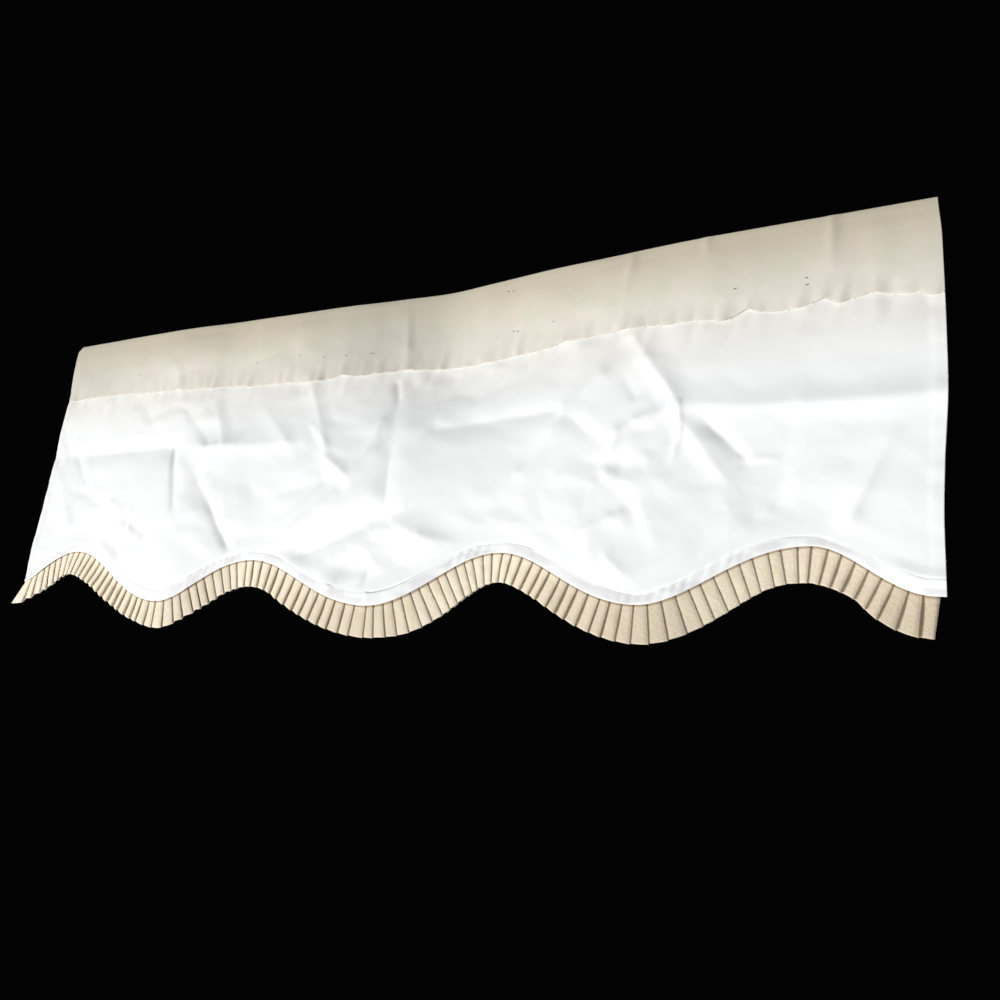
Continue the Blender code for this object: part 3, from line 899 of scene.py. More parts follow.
@dataclass
class ClothPiece:
    """A sheet of cloth on the hanging form."""

    form: HangingForm
    finish: ClothFinish
    name: str
    thickness: float
    end_column: float = field(default=0.6, kw_only=True)

    def sheet(
        self,
        points: Array,
        cut: Array,
        painted_shade: Array,
        shares: Array | None = None,
    ) -> Piece:
        """Build a sheet with an even thickness.

        Args:
            points: its middle surface in metres, row by row from the top, as (rows, columns, 3).
            cut: the same points' places on the cut cloth in millimetres, as (rows, columns, 2).
            painted_shade: how much painted shade the cloth's front takes at each point, from 0 to
                1.
            shares: each point's share of the thickness, where it isn't even.

        Returns:
            The sheet, with its weave's coordinates in the UV map named cut.
        """
        count, wide = points.shape[:2]
        index = np.arange(count * wide).reshape(count, wide)
        corners = (index[:-1, :-1], index[1:, :-1], index[1:, 1:], index[:-1, 1:])
        quads = np.stack(corners, axis=-1).reshape(-1, 4)
        finish = self.finish.material()
        made = meshed(self.name, points.reshape(-1, 3).tolist(), quads.tolist(), finish)
        places = cut.reshape(-1, 2)[quads.reshape(-1)].astype(np.float32)
        made.data.uv_layers.new(name="cut").data.foreach_set("uv", places.reshape(-1))
        # each point's share of painted shade, stored on the mesh for the material to read
        stored = made.data.attributes.new("painted_shade", "FLOAT", "POINT")
        stored.data.foreach_set("value", painted_shade.reshape(-1).astype(np.float32))
        solidify = made.modifiers.new("thickness", "SOLIDIFY")
        solidify.thickness = self.thickness * MM
        solidify.offset = 0.0
        solidify.use_even_offset = True
        if shares is not None:
            group = made.vertex_groups.new(name="thickness")
            rounded = np.round(shares.reshape(-1), 2)
            for share in np.unique(rounded):
                group.add(np.flatnonzero(rounded == share).tolist(), float(share), "REPLACE")
            solidify.vertex_group = group.name
        return made

    def columns(self, count: int) -> Array:
        """Nominal places from side to side.

        Args:
            count: how many there are.

        Returns:
            The places, with one close to each side.
        """
        half = self.form.width / 2
        inner, first = np.linspace(-half, half, count - 1)[1:-1], self.end_column - half
        return np.concatenate(([-half, first], inner, [-first, half]))

    def hand_over(self, piece: Piece, node: str) -> Piece:
        """Let a piece stand for its solid, which it hides, and ride on the part.

        Args:
            piece: the piece.
            node: the solid's node.

        Returns:
            The piece.
        """
        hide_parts(node)
        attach(piece, "root")
        return piece


@dataclass
class Panel(ClothPiece):
    """The white cloth, with a turned hem along its wavy lower edge and along its sides."""

    finish: ClothFinish = WHITE_SATIN
    name: str = "panel_cloth"
    thickness: float = 1.5
    plain_share: float = 0.7
    rim_share: float = 0.3
    column_count: int = 486
    covered_rows: int = 12
    upper_rows: int = 27
    lower_rows: int = 45
    hem_shares: tuple[float, ...] = (
        *(1.7, 1.4, 1.2, 1.1, 1.05, 1.0, 0.95),
        *(0.88, 0.75, 0.6, 0.4, 0.2, 0.07, 0.0),
    )
    side_hem: float = 12.0
    side_step: float = 0.25
    side_waves: float = 0.4
    top_gap: float = 1.6
    seam_margin: float = 5.0
    hem_line: float = 0.35
    hem_rise: float = 1.25
    tuck_pitch: float = 10.5
    tuck_height: float = 1.3
    end_swell: float = 1.5
    end_from: float = 535.0
    end_run: float = 25.0
    # how strong the painted shade on the turned hem is
    painted_line_shade: float = 0.4

    def at_end(self, x: Array) -> Array:
        """How far places lie into the right end, where the hem stands open: from 0 to 1."""
        return fade((x - self.end_from) / self.end_run)

    def relief(self, x: Array, drop: Array) -> Array:
        """The small relief and the hem's, as a height outward at places x and drop.

        Args:
            x: places along the valance.
            drop: drops that go with x.

        Returns:
            The height outward at each point.
        """
        from_edge = (self.form.lower_edge(x) - drop) / np.hypot(1.0, self.form.edge_slope(x))
        clear_of_hem = fade((from_edge - self.hem_depth(x) * 0.8) / self.form.fade_at_hem)
        return self.form.small_relief(x, drop) * clear_of_hem + self.hem_relief(x, from_edge)

    def hem_relief(self, x: Array, from_edge: Array) -> Array:
        """The turned hem's relief: its tacked fold line and the tucks that the curve forces on it.

        Args:
            x: places along the valance.
            from_edge: distances from the lower edge that go with x.

        Returns:
            The hem's height outward.
        """
        hem, at_end = self.hem_depth(x), self.at_end(x)
        gaps = fade(0.55 + 1.5 * uneven_along(29, 15, x))
        openness = HEM_OPENNESS.at(x) * np.where(x > self.end_from, 1.0, gaps)
        line = -self.hem_line * np.exp(-(((from_edge - hem - 0.6) / 0.8) ** 2)) * openness
        step = fade((hem + 0.5 - from_edge) / (1.0 + 3.0 * at_end))
        rise = 0.1 + (self.hem_rise - 0.75 * at_end) * openness * step
        along = x + 6.0 * uneven_along(31, 17, x)
        climbing = fade(0.9 - 1.2 * self.form.edge_slope(x, 8.0))
        tucked = climbing * fade(0.45 + uneven_along(37, 60, x))
        teeth = (along - 0.5 * from_edge) / self.tuck_pitch % 1.0
        teeth = np.minimum(teeth / 0.8, (1.0 - teeth) / 0.2)
        inside = fade(from_edge / 3.0) * fade((hem + 3.0 - from_edge) / 4.0)
        swell = at_end * fade((hem + 11.0 - from_edge) / 11.0) * fade((from_edge - hem + 6.0) / 6.0)
        return line + rise + self.end_swell * swell - self.tuck_height * teeth * tucked * inside

    def hem_depth(self, x: Array) -> Array:
        """How deep the turned hem is at many places along it."""
        return HEM_DEPTHS.at(x) + (0.8 * uneven_along(23, 26, x) + 0.5 * uneven_along(109, 8, x))

    def side_relief(self, x: Array, drop: Array) -> Array:
        """The side hems' relief: a soft step inwards and small uneven tucks.

        Args:
            x: places along the valance.
            drop: drops that go with x.

        Returns:
            The height outward at each point.
        """
        from_side = self.form.width / 2 - np.abs(x)
        wander = self.side_hem + 1.2 * Unevenness(41, 40, 26).at(x, drop)
        step = self.side_step * fade((wander - from_side) / 7.0)
        waves = self.side_waves * Unevenness(43, 30, 9).at(np.sign(x) * 90.0, drop)
        return step + waves * fade((wander + 3.0 - from_side) / 6.0)

    def surface(self, x: Array, drop: Array) -> tuple[Array, Array]:
        """The middle surface at nominal places: its shifted x, and how far it stands outward.

        Args:
            x: places along the valance.
            drop: drops that go with x.

        Returns:
            The two arrays.
        """
        shifted = x + self.form.side_shift(x, drop)
        outward = self.form.outward(shifted, drop) + self.relief(shifted, drop)
        return shifted, outward + self.side_relief(x, drop)

    def drops(self, x: Array) -> Array:
        """Set out the rows of points.

        Args:
            x: the columns' nominal places.

        Returns:
            The points' drops, from the top edge to the lower edge, as (rows, columns).
        """
        edge, tilt = self.form.lower_edge(x), np.hypot(1.0, self.form.edge_slope(x))
        near = [edge - self.hem_depth(x) * tilt * share for share in self.hem_shares]
        top, seam = np.full_like(x, self.top_gap), BAND_LINE.at(x) - self.seam_margin
        stops = (top, seam, STORAGE_LINE.at(x), near[0])
        made = []
        counts = (self.covered_rows, self.upper_rows, self.lower_rows)
        for start, end, count in zip(stops, stops[1:], counts):
            shares = np.linspace(0.0, 1.0, count, endpoint=False)[:, None]
            made.append(start + (end - start) * shares)
        return np.concatenate(made + [np.stack(near)])

    def build(self) -> Piece:
        """Build the panel.

        Returns:
            The panel.
        """
        columns = self.columns(self.column_count)
        drop = self.drops(columns)
        nominal = np.broadcast_to(columns, drop.shape)
        x, outward = self.surface(nominal, drop)
        into_hem = self.hem_depth(nominal) - (self.form.lower_edge(nominal) - drop)
        into_side = self.side_hem - (self.form.width / 2 - np.abs(nominal))
        hemmed = np.maximum(fade(into_hem / 3.0), fade(into_side / 3.0))
        shares = self.plain_share + (1.0 - self.plain_share) * hemmed
        shares[-1] = self.rim_share
        shares[-2] = (1.0 + self.rim_share) / 2.0
        # painted shade on the turned hem, in patches from about x = -330 rightwards, and only its
        # lower part at the right end
        painted_shade = self.painted_line_shade * fade((into_hem - 6.0 * self.at_end(nominal)) / 2.0)
        patchy = fade(0.6 + Unevenness(127, 22, 9).at(nominal, drop))
        painted_shade *= fade((nominal + 330.0) / 120.0) * patchy
        cut = np.stack((x, -drop), axis=-1)
        made = self.sheet(self.form.place(x, drop, outward), cut, painted_shade, shares)
        return self.hand_over(made, "panel")


@dataclass
class HeadingBand(ClothPiece):
    """The off-white band, folded over the top edge and tacked down by hand in front."""

    finish: ClothFinish = OFF_WHITE_COTTON
    name: str = "heading_cloth"
    thickness: float = 0.7
    gap: float = 1.25
    column_count: int = 560
    front_rows: int = 26
    back_rows: int = 9
    back_depth: float = 44.0
    tack_pitch: float = 17.0
    edge_shares: tuple[float, ...] = (0.985, 0.994, 1.0)
    rim_shares: tuple[float, float] = (0.7, 0.2)
    # painted shade on the band's lower rim, which damps the light it catches
    painted_rim_shade: tuple[float, float] = (0.35, 0.8)
    scallop: float = 1.1
    tack_lift: float = 0.5
    tuck_slant: float = 16.0
    fold_cloth: float = 4.0
    fold_degrees: tuple[float, ...] = (150.0, 120.0, 90.0, 60.0, 30.0)

    def tacks(self) -> Array:
        """The uneven places at which the band's lower edge is tacked down.

        Returns:
            Their places along the valance.
        """
        count = int(self.form.width / self.tack_pitch)
        even = np.linspace(-self.form.width / 2 + 4.0, self.form.width / 2 - 4.0, count)
        return even + 5.0 * uneven_along(53, 13, even)

    def between_tacks(self, x: Array) -> Array:
        """How free the lower edge is: 0 at a tack and 1 midway between two.

        Args:
            x: places along the valance.

        Returns:
            The freedom there.
        """
        tacks = self.tacks()
        i = np.clip(np.searchsorted(tacks, x) - 1, 0, len(tacks) - 2)
        t = np.clip((x - tacks[i]) / (tacks[i + 1] - tacks[i]), 0.0, 1.0)
        return np.sin(math.pi * t)

    def lower_line(self, x: Array) -> Array:
        """The drop of the band's lower edge, with its scallops and where it was caught up.

        Args:
            x: places along the valance.

        Returns:
            The drops there.
        """
        line = BAND_LINE.at(x) + self.scallop * self.between_tacks(x) - 0.5
        line += 1.3 * uneven_along(59, 31, x) + 0.6 * uneven_along(61, 7, x)
        for tuck in TUCKS:
            line -= tuck.pull * np.exp(-(((x - tuck.x) / tuck.width) ** 2))
        return line

    def pucker(self, x: Array, share: Array) -> Array:
        """How far the front leg stands off the panel beyond its gap.

        Args:
            x: places along the valance.
            share: how far down the front leg each point lies, from 0 to 1.

        Returns:
            The extra height outward: free arcs between tacks, caught tucks and soft upright waves.
        """
        calm = fade((x + 430.0) / 160.0) * 0.75 + 0.25
        lift = self.tack_lift * self.between_tacks(x) * share**7 * calm
        for tuck in TUCKS:
            slant = tuck.x + self.tuck_slant * (1.0 - share)
            bulge = np.exp(-(((x - slant) / (tuck.width * 0.6)) ** 2))
            lift = lift + 0.9 * tuck.lift * bulge * share**6
        waves = 0.8 * Unevenness(67, 54, 150).at(x + 12.0 * share, 90.0 * share)
        waves += 0.3 * Unevenness(71, 21, 90).at(x - 8.0 * share, 90.0 * share)
        free = fade(share * 4.0) * (1.0 - 0.8 * share**6)
        return lift + (waves + 0.9) * free * (0.45 + 0.55 * calm)

    def off_panel(self, x: Array, drop: Array, lift: Array, level: Array | None = None) -> Array:
        """Points that stand off the panel.

        Args:
            x: nominal places along the valance.
            drop: drops that go with x.
            lift: how far outward each point stands from the panel's middle surface.
            level: the drops at which the panel's form is read, where they aren't drop.

        Returns:
            The points in metres.
        """
        level = drop if level is None else level
        shifted = x + self.form.side_shift(x, drop)
        base = self.form.outward(shifted, level) + self.form.small_relief(shifted, level)
        return self.form.place(shifted, drop, base + lift)

    def front(self, x: Array, share: Array) -> Array:
        """Points of the front leg, from 0 at the top fold to 1 at the lower edge."""
        drop = self.gap + (self.lower_line(x) - self.gap) * share
        return self.off_panel(x, drop, self.gap + self.pucker(x, share))

    def behind(self, x: Array, depth: Array) -> Array:
        """Points of the back leg at depths below the top fold."""
        wave = 0.5 * np.abs(Unevenness(73, 30, 60).at(x, depth))
        return self.off_panel(x, self.gap + depth, -self.gap - wave)

    def top_fold(self, x: Array, degrees: float) -> Array:
        """Points round the top fold, at an angle from the front leg.

        Args:
            x: places along the valance.
            degrees: the angle.

        Returns:
            The points in metres.
        """
        angle = math.radians(degrees)
        drop = self.gap * (1.0 - math.sin(angle)) + 0.35 * uneven_along(79, 60, x)
        lift = self.gap * math.cos(angle)
        return self.off_panel(x, drop, np.full_like(x, lift), np.full_like(x, self.gap))

    def build(self) -> Piece:
        """Build the band.

        Returns:
            The band.
        """
        x = self.columns(self.column_count)
        points, cut = [], []
        for depth in np.linspace(self.back_depth, 0.0, self.back_rows):
            points.append(self.behind(x, np.full_like(x, depth)))
            cut.append(np.full_like(x, depth + self.fold_cloth))
        for degrees in self.fold_degrees:
            points.append(self.top_fold(x, degrees))
            cut.append(np.full_like(x, self.fold_cloth * (degrees / 180.0)))
        for share in (*np.linspace(0.0, 1.0, self.front_rows)[:-1] ** 0.8, *self.edge_shares):
            points.append(self.front(x, np.full_like(x, share)))
            cut.append(-self.lower_line(x) * share)
        grid = np.stack(points)
        places = np.stack((np.broadcast_to(x, grid.shape[:2]), np.stack(cut)), axis=-1)
        shares = np.ones(grid.shape[:2])
        shares[-2:] = np.array(self.rim_shares)[:, None]
        # painted shade along the band, more on its lower rim
        painted_shade = np.tile(BAND_PAINTED_SHADE.at(x), (len(grid), 1))
        painted_shade[-2:] = np.maximum(painted_shade[-2:], np.array(self.painted_rim_shade)[:, None])
        return self.hand_over(self.sheet(grid, places, painted_shade, shares), "heading_band")


@dataclass
class WavyEdge:
    """The panel's lower edge as a path that is measured by its length."""

    form: HangingForm
    ease: float = 30.0
    inset: float = 3.0
    steps: int = 1200
    xs: Array = field(init=False)
    lengths: Array = field(init=False)

    def __post_init__(self) -> None:
        """Measure the path in steps of about a millimetre."""
        half = self.form.width / 2
        start = -half - float(LEFT_SIDE.at(self.form.lower_edge(np.array([-half])))[0])
        self.xs = np.linspace(start, half - self.inset, self.steps)
        drops = self.form.lower_edge(self.xs)
        steps = np.hypot(np.diff(self.xs), np.diff(drops))
        self.lengths = np.concatenate(([0.0], np.cumsum(steps)))

    @property
    def total(self) -> float:
        """The path's whole length."""
        return float(self.lengths[-1])

    def at(self, length: Array) -> tuple[Array, Array, Array, Array]:
        """Read the path.

        Args:
            length: lengths along it.

        Returns:
            The x, the drop, and the two parts (along x and along drop) of the downward normal.
        """
        x = np.interp(length, self.lengths, self.xs)
        slope = self.form.edge_slope(x, self.ease)
        tilt = np.hypot(1.0, slope)
        return x, self.form.lower_edge(x), -slope / tilt, 1.0 / tilt

    def folds(self) -> Array:
        """The length at which each pleat's outer fold lies: evenly in each half-wave.

        Returns:
            The lengths, from left to right.
        """
        found = []
        for start, end in zip(WAVE, WAVE[1:]):
            first, last = np.interp((start.x, end.x), self.xs, self.lengths)
            found += [first + (last - first) * (k + 1) / end.pleats for k in range(end.pleats)]
        return np.array(found)


class Pleat(NamedTuple):
    """How one pleat hangs at one row of the strip."""

    fold: float
    curl: float
    last: bool
    loose: float
    tooth: float
    steep: float
    radius: float
    # painted shade: along the strip, and on this pleat's fold
    painted_strip_shade: float
    painted_fold_shade: float


@dataclass
class StripRow:
    """One row of the strip as it is laid, and how its last inner fold lies."""

    trim: "PleatedTrim"
    edge: WavyEdge
    below: float
    radius: float
    points: list[Array]
    run: list[float] = field(default_factory=lambda: [0.0])
    # each point's share of painted shade
    painted_shade: list[float] = field(default_factory=lambda: [0.0])
    start: float = 0.0
    depth: float = 0.0
    tooth: float = 0.0
    covered: float = 0.0

    def lay(
        self, length: float, low: float, behind: float, run: float, strip_shade: float, crease_shade: float
    ) -> None:
        """Lay one point.

        Args:
            length: its place along the edge.
            low: how far below the edge it hangs.
            behind: how far it lies behind the foremost folds.
            run: its place along the unfolded strip.
            strip_shade: how much painted shade darkens the strip there.
            crease_shade: how much painted shade the fold's crease takes there.
        """
        place = (np.array([length]), np.array([low]), np.array([behind]))
        self.points.append(self.trim.strip_point(self.edge, *place)[0])
        self.run.append(run)
        # painted shadow in the crack under the hem, joined with the other painted shade
        crease_shade = max(crease_shade, self.trim.painted_seam_shadow(self.below))
        self.painted_shade.append(1.0 - (1.0 - strip_shade) * (1.0 - crease_shade))


@dataclass
class PleatedTrim(ClothPiece):
    """The beige strip of knife pleats, whose right-hand folds lie over the next pleat."""

    finish: ClothFinish = BEIGE_CANVAS
    name: str = "trim_pleats"
    thickness: float = 0.65
    hidden: float = 10.0
    showing: float = 33.0
    pleat_cloth: float = 21.7
    least_underlap: float = 1.5
    most_underlap: float = 0.72
    fold_radius: float = 0.5
    depth: float = 3.0
    behind_panel: float = 1.75
    tooth: float = 0.5
    loose_tooth: float = 3.4
    loose_depth: float = 4.0
    place_error: float = 1.3
    hang_error: float = 0.8
    end_tuck: float = 4.0
    end_reach: float = 30.0
    lumps: float = 0.4
    crack: float = 0.5
    fall_radius: float = 0.9
    steep_slope: float = 0.5
    end_mouth: float = 1.2
    bend_run: float = 0.4
    face_steps: tuple[float, ...] = (0.05, 0.12, 0.24, 0.45, 0.72, 1.0)
    stations: tuple[float, ...] = (-10, -6, -2, 0.9, 2.4, 5, 9, 13, 17, 21, 25, 28.5, 31.5, 33)

    def error(self, count: int, seed: int) -> Array:
        """Each pleat's own error, from -1 to 1."""
        return np.random.default_rng(seed).uniform(-1.0, 1.0, count)

    def strip_point(self, edge: WavyEdge, length: Array, below: Array, behind: Array) -> Array:
        """Points of the strip.

        Args:
            edge: the panel's lower edge.
            length: lengths along it.
            below: how far below the edge each point hangs.
            behind: how far it lies behind the foremost folds.

        Returns:
            The points in metres.
        """
        x, drop, normal_x, normal_drop = edge.at(length)
        hanging = np.maximum(below, 0.0) / self.showing
        hidden = np.maximum(-below, 0.0) / self.hidden
        lump = self.lumps * fade(below / 5.0) * Unevenness(103, 9, 12).at(length, below)
        below = below + np.maximum(below, 0.0) * (TRIM_SHARES.at(x) - 1.0)
        tuck = np.exp(-length / self.end_reach) - np.exp(-(edge.total - length) / self.end_reach)
        x_here = x + normal_x * below + TRIM_LEANS.at(x) * hanging + self.end_tuck * tuck * hidden
        drop_here = drop + normal_drop * below
        outward = self.form.sway(x, drop_here) - self.behind_panel - behind + lump
        return self.form.place(x_here, drop_here, outward)

    def painted_line_shade(self, shown: float, steep: float) -> float:
        """How much painted shade a face takes at a share of its width from the fold that lies over
        it: a dark line in the fold's shadow and a soft shade across the face.
        """
        line = (0.42 + 0.48 * steep) * math.exp(-((shown / (0.07 + 0.03 * steep)) ** 2))
        return max(line, (0.12 - 0.08 * steep) * (1.0 - shown) ** 1.5)

    def painted_seam_shadow(self, below: float) -> float:
        """How much painted shadow the strip takes in the crack under the hem, at a distance below
        the edge, from 0 to 1.
        """
        return 0.75 * float(fade((2.4 - below) / 1.5))

    def pleat(self, edge: WavyEdge, fold: float, hanging: float, curl: float, last: bool) -> Pleat:
        """Work out how a pleat hangs.

        Args:
            edge: the panel's lower edge.
            fold: the pleat's outer fold, as a length along the edge.
            hanging: how far down the strip its row lies, from 0 to 1.
            curl: the pleat's own error, from -1 to 1.
            last: whether the strip ends with it.

        Returns:
            The pleat.
        """
        place = edge.at(np.array([fold]))[0]
        loose = float(LOOSENESS.at(place)[0]) * hanging
        fall = float(self.form.edge_slope(place, edge.ease)[0])
        steep = min(max(fall / self.steep_slope, -1.0), 1.0)
        opened = max(steep + 0.3 * curl, 0.0) * min(2.2 * hanging, 1.0)
        tooth = (self.tooth * hanging + self.loose_tooth * loose) * (not last)
        radius = self.fold_radius + self.fall_radius * opened
        # painted shade along the strip, standing in for how the light falls along it
        strip_shade = max(float(TRIM_PAINTED_SHADE.at(place)[0]) + 0.04 * curl, 0.0)
        # painted shade on the fold, stronger where the edge falls to the right
        crease_shade = 0.85 * fade(0.4 + 0.6 * steep) * min(2.5 * hanging, 1.0)
        return Pleat(fold, curl, last, loose, tooth, steep, radius, strip_shade, crease_shade)

    def lay_face(self, row: StripRow, pleat: Pleat, hanging: float) -> None:
        """Lay a pleat's face, from the inner fold before it to its own outer fold.

        Args:
            row: the row so far.
            pleat: the pleat.
            hanging: how far down the strip the row lies, from 0 to 1.
        """
        covered, span, at = row.covered, pleat.fold - row.start, row.run[-1]
        power = min(max(2.8 - 1.5 * pleat.steep + 0.6 * pleat.curl, 1.1), 4.5)
        crack = self.crack * (0.25 if pleat.steep < 0.0 else 1.0)
        mouth = 2.0 * row.radius + self.thickness + crack + 0.5 * self.loose_depth * pleat.loose
        mouth += (0.25 * pleat.curl + self.end_mouth * pleat.last) * min(4.0 * hanging, 1.0)
        mouth = mouth if covered else 0.0
        places = [0.5 * covered, 0.9 * covered, covered] if covered else []
        places += [covered + (1.0 - covered) * step for step in self.face_steps]
        for t in places:
            shown = (t - covered) / (1.0 - covered)
            in_sight = shown >= 0.0
            behind = mouth * (1.0 - shown) ** power if in_sight else (row.depth + mouth) / 2.0
            low = row.below - row.tooth + (pleat.tooth + row.tooth) * t
            # painted shade in the fold's shadow on the face, and at the face's end by its own fold
            crease_shade = self.painted_line_shade(shown, pleat.steep) if in_sight and covered else 0.0
            if t == 1.0 and not pleat.last:
                crease_shade = max(crease_shade, 0.35 * pleat.painted_fold_shade)
            row.lay(row.start + span * t, low, behind, at + span * t, pleat.painted_strip_shade, crease_shade)

    def lay_fold(self, row: StripRow, pleat: Pleat, folds: Array, widths: Array) -> None:
        """Turn the strip under at a pleat's outer fold, back to its inner fold.

        Args:
            row: the row so far.
            pleat: the pleat.
            folds: the outer folds before it, its own, and after it, as lengths along the edge.
            widths: its width and the next pleat's.
        """
        before, fold, after = folds
        underlap = max((self.pleat_cloth - widths[0]) / 2.0, self.least_underlap)
        underlap = min(underlap, self.most_underlap * widths[0])
        scale = (fold - before) / widths[0]
        radius, tooth, small = pleat.radius, pleat.tooth, self.fold_radius
        depth = self.depth * (1.0 + underlap / min(widths)) + self.loose_depth * pleat.loose
        depth = max(depth, 2.0 * (radius + small) + self.thickness)
        inner = fold - underlap * scale
        # each bend's last number is painted shade on the fold's turn
        bends = (
            (fold + 0.5 * radius * scale, tooth, 0.3 * radius, 0.7 * pleat.painted_fold_shade),
            (fold + 0.7 * radius * scale, tooth, radius, pleat.painted_fold_shade),
            (fold, tooth, 2.0 * radius, 1.0),
            (fold - 0.5 * underlap * scale, 0.0, 0.5 * depth, 0.0),
            (inner, -tooth, depth - 2.0 * small, 0.0),
            (inner - small * scale, -tooth, depth - small, 0.0),
            (inner, -tooth, depth, 0.0),
        )
        for length, down, behind, crease_shade in bends:
            run = row.run[-1] + (underlap / 5.0 + self.bend_run)
            row.lay(length, row.below + down, behind, run, pleat.painted_strip_shade, crease_shade)
        row.start, row.depth, row.tooth, row.radius = inner, depth, tooth, radius
        row.covered = (fold - inner) / (after - inner)

    def pleat_row(self, edge: WavyEdge, folds: Array, below: float) -> tuple[Array, Array, Array]:
        """Lay one row of the strip, from its left end to its right end.

        Args:
            edge: the panel's lower edge.
            folds: each pleat's outer fold, as a length along the edge.
            below: how far below the edge the row hangs.

        Returns:
            The row's points in metres, each one's place along the unfolded strip, and its painted
            shade.
        """
        count = len(folds)
        hanging = max(below, 0.0) / self.showing
        errors = self.place_error * self.error(count, 83)
        errors += self.hang_error * hanging * self.error(count, 89)
        errors[-1] = 0.0
        outer = np.concatenate(([0.0], folds + errors))
        flat = self.strip_point(edge, outer, np.full(count + 1, below), np.zeros(count + 1))
        widths = np.linalg.norm(np.diff(flat, axis=0), axis=1) / MM
        row = StripRow(self, edge, below, self.fold_radius, [flat[0]])
        for k, curl in enumerate(self.error(count, 113)):
            pleat = self.pleat(edge, outer[k + 1], hanging, curl, k == count - 1)
            self.lay_face(row, pleat, hanging)
            if not pleat.last:
                self.lay_fold(row, pleat, outer[k : k + 3], widths[k : k + 2])
        return np.array(row.points), np.array(row.run), np.array(row.painted_shade)

    def build(self) -> Piece:
        """Build the pleated strip.

        Returns:
            The strip.
        """
        edge = WavyEdge(self.form)
        folds = edge.folds()
        made = [self.pleat_row(edge, folds, float(below)) for below in self.stations]
        grid, run, painted_shade = (np.stack(parts) for parts in zip(*made))
        down = -np.broadcast_to(np.array(self.stations)[:, None], run.shape)
        made = self.sheet(grid, np.stack((run, down), axis=-1), painted_shade)
        return self.hand_over(made, "pleated_trim")


# ---- sewing and marks


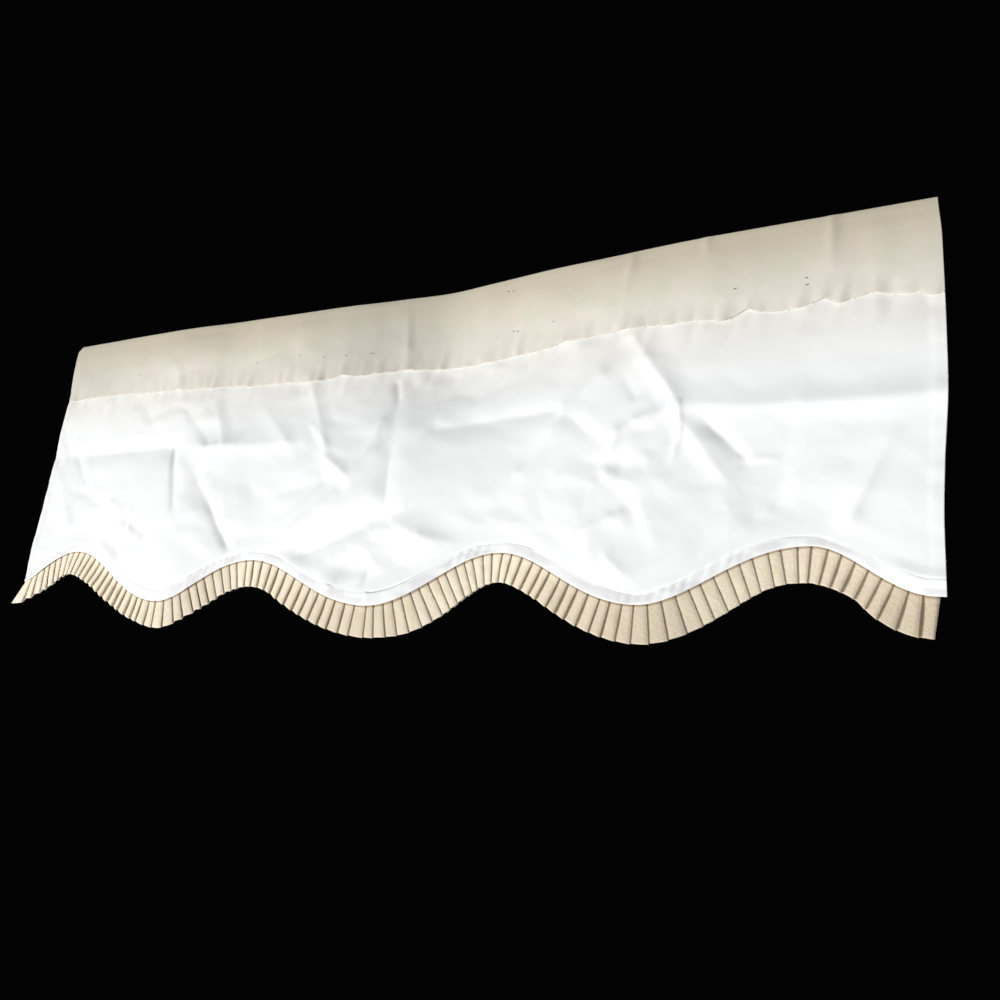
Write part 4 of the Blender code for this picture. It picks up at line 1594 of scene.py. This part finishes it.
@dataclass
class Sewing:
    """Short threads and pin marks on the cloths."""

    form: HangingForm
    panel: Panel
    band: HeadingBand
    trim: PleatedTrim
    thread_radius: float = 0.28
    mark_radius: float = 0.5
    sides: int = 6
    pointed: float = 0.35
    tack_reach: float = 1.5
    tack_arch: float = 0.25
    stitch_pitch: float = 4.2
    stitch: float = 3.0
    seam_depth: float = 5.0
    seam_arch: float = 0.3
    end_margin: float = 4.0

    def threads(
        self, name: str, finish: PlainFinish, runs: Sequence[Array], radius: float
    ) -> Piece:
        """Build many short threads as one piece.

        Args:
            name: the piece's name.
            finish: the thread's finish.
            runs: each thread's points in metres.
            radius: a thread's radius at its middle.

        Returns:
            The piece, riding on the part.
        """
        verts: list[Array] = []
        faces: list[tuple[int, ...]] = []
        ring = np.arange(self.sides) * 2.0 * math.pi / self.sides
        for run in runs:
            start = sum(len(part) for part in verts)
            tangents = np.gradient(run, axis=0)
            tangents /= np.linalg.norm(tangents, axis=1)[:, None]
            side = np.cross(tangents, (0.0, 1.0, 0.0))
            side /= np.linalg.norm(side, axis=1)[:, None]
            up = np.cross(side, tangents)
            swell = np.sin(np.linspace(self.pointed, math.pi - self.pointed, len(run)))
            radii = radius * MM * swell[:, None]
            for angle in ring:
                verts.append(run + radii * (math.cos(angle) * side + math.sin(angle) * up))
            count = len(run)
            for s in range(self.sides):
                here, there = start + s * count, start + (s + 1) % self.sides * count
                for i in range(count - 1):
                    faces.append((here + i, here + i + 1, there + i + 1, there + i))
            faces.append(tuple(start + s * count for s in range(self.sides)))
            faces.append(tuple(start + s * count + count - 1 for s in reversed(range(self.sides))))
        made = meshed(name, np.concatenate(verts).tolist(), faces, finish.material())
        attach(made, "root")
        return made

    def arch(self, start: Array, end: Array, outward: float, points: int = 6) -> Array:
        """A thread's points from start to end, arched outward by a height in metres.

        Args:
            start: the thread's start.
            end: its end.
            outward: the arch's height in metres.
            points: how many points it has.

        Returns:
            The points in metres.
        """
        t = np.linspace(0.0, 1.0, points)[:, None]
        run = start + (end - start) * t
        run[:, 1] -= outward * np.sin(math.pi * t[:, 0])
        return run

    def band_tacks(self) -> Piece:
        """Build the slip stitches that hold the band's lower edge to the panel.

        Returns:
            The stitches, as one piece.
        """
        runs = []
        places = self.band.tacks()
        slants = np.random.default_rng(97).uniform(0.6, 2.2, len(places))
        for x, slant in zip(places, slants):
            upper = self.band.front(np.array([x]), np.array([0.985]))[0]
            upper[1] -= 0.55 * MM
            low_x = np.array([x + slant])
            low = self.band.lower_line(np.array([x])) + self.tack_reach
            shifted, outward = self.panel.surface(low_x, low)
            lower = self.form.place(shifted, low, outward + 0.6)[0]
            runs.append(self.arch(upper, lower, self.tack_arch * MM))
        return self.threads("band_tacks", WHITE_THREAD, runs, self.thread_radius)

    def trim_seam(self) -> Piece:
        """Build the run of stitches that holds the trim to the hem, seen from behind.

        Returns:
            The stitches, as one piece.
        """
        edge = WavyEdge(self.form)
        layers = self.trim.depth * 1.45 + 0.6
        below, behind = np.full(2, -self.seam_depth), np.full(2, layers)
        runs = []
        for length in np.arange(self.end_margin, edge.total - self.end_margin, self.stitch_pitch):
            ends = np.array([length, length + self.stitch])
            both = self.trim.strip_point(edge, ends, below, behind)
            runs.append(self.arch(both[0], both[1], -self.seam_arch * MM))
        return self.threads("trim_seam", BEIGE_THREAD, runs, self.thread_radius)

    def pin_marks(self) -> Piece:
        """Build the small dark marks that pins left in the heading.

        Returns:
            The marks, as one piece.
        """
        runs = []
        sizes = np.random.default_rng(101).uniform(0.7, 1.6, (len(PIN_MARKS), 2))
        for (x, drop), (long, fall) in zip(PIN_MARKS, sizes):
            share = drop / float(self.band.lower_line(np.array([x]))[0])
            middle = self.band.front(np.array([float(x)]), np.array([share]))[0]
            middle[1] -= 0.5 * MM
            half = np.array([long, 0.0, 0.4 * (fall - 1.1)]) * MM
            runs.append(self.arch(middle - half, middle + half, 0.05 * MM, 4))
        return self.threads("pin_marks", PIN_STAIN, runs, self.mark_radius)


# ---- stage


@dataclass(frozen=True)
class SoftLight:
    """A square soft light: its place and aim and its side in metres, and its power in watts."""

    name: str
    place: tuple[float, float, float]
    aim: tuple[float, float, float]
    size: float
    power: float

    def build(self) -> Piece:
        """Build the light.

        Returns:
            The light, turned towards its aim.
        """
        made = add_to_scene(self.name, bpy.data.lights.new(self.name, "AREA"))
        made.data.size = self.size
        made.data.energy = self.power
        made.location = self.place
        made.rotation_mode = "QUATERNION"
        ahead = Vector(self.aim) - Vector(self.place)
        made.rotation_quaternion = ahead.to_track_quat("-Z", "Y")
        return made


LIGHTS = (
    SoftLight("key_light", (-5.4, -4.6, -3.8), (0.0, 0.0, -0.2), 3.2, 820.0),
    SoftLight("fill_light", (1.0, -3.0, -1.3), (0.2, 0.0, -0.2), 2.0, 40.0),
    SoftLight("back_light", (0.6, 3.2, 0.9), (0.0, 0.0, -0.2), 2.2, 110.0),
)


@dataclass
class Studio:
    """The camera, the soft lights, the pale floor and the dark surroundings."""

    lens: float = 30.35
    place: tuple[float, float, float] = (0.60317, -0.74970, -0.45932)
    right: tuple[float, float, float] = (0.87481, 0.47410, 0.09971)
    down: tuple[float, float, float] = (-0.02466, 0.24914, -0.96815)
    floor_drop: float = 5.6
    floor_size: float = 26.0
    floor_rings: int = 12
    floor_sides: int = 64
    sensor: float = 36.0
    dimness: tuple[float, float, float, float] = (0.001, 0.001, 0.0011, 1.0)

    def camera(self) -> Piece:
        """Build the camera at the picture's viewing angle.

        Returns:
            The camera.
        """
        made = add_to_scene("camera", bpy.data.cameras.new("camera"))
        made.data.lens = self.lens
        made.data.sensor_width = self.sensor
        right, up = Vector(self.right).normalized(), -Vector(self.down).normalized()
        back = right.cross(up).normalized()
        up = back.cross(right)
        turned = Matrix((right, up, back)).transposed().to_4x4()
        made.matrix_world = Matrix.Translation(self.place) @ turned
        bpy.context.scene.camera = made
        return made

    def floor(self) -> Piece:
        """Build the pale floor, a wide disc.

        Returns:
            The floor, which is marked as stage.
        """
        rings, around = self.floor_rings, self.floor_sides
        angles = np.arange(around) * 2.0 * math.pi / around
        verts = [(0.0, 0.0, -self.floor_drop)]
        for k in range(1, rings + 1):
            radius = self.floor_size / 2 * k / rings
            for a in angles:
                verts.append((radius * math.cos(a), radius * math.sin(a), -self.floor_drop))
        sides = [(i, (i + 1) % around) for i in range(around)]
        faces = [(0, 1 + i, 1 + j) for i, j in sides]
        for k in range(rings - 1):
            low, high = 1 + k * around, 1 + (k + 1) * around
            # The floor.
            faces += [(low + i, high + i, high + j, low + j) for i, j in sides]
        made = meshed("floor", verts, faces, PALE_FLOOR.material())
        return made

    def surroundings(self) -> None:
        """Set the dim, even light that comes from all round."""
        world = bpy.data.worlds.new("surroundings")
        world.use_nodes = True
        shade = world.node_tree.nodes["Background"]
        shade.inputs[0].default_value = self.dimness
        shade.inputs[1].default_value = 1.0
        bpy.context.scene.world = world
        bpy.context.scene.view_settings.view_transform = "Standard"

    def build(self) -> None:
        """Build the whole stage."""
        self.camera()
        for light in LIGHTS:
            light.build()
        self.floor()
        self.surroundings()


def report(piece: Piece) -> Piece:
    """Log a piece's name and how many faces its mesh has."""
    log.info("%s: %d faces before its modifiers", piece.name, len(piece.data.polygons))
    return piece


def main() -> None:
    """Build the stage, the cloths and the sewing, in that order."""
    logging.basicConfig(level=logging.INFO, format="%(name)s %(message)s")
    Studio().build()
    form = HangingForm()
    panel = Panel(form)
    band = HeadingBand(form)
    trim = PleatedTrim(form)
    cloths = [report(piece.build()) for piece in (panel, band, trim)]
    sewing = Sewing(form, panel, band, trim)
    sewn = [report(made) for made in (sewing.band_tacks(), sewing.trim_seam(), sewing.pin_marks())]


if __name__ == "__main__":
    main()
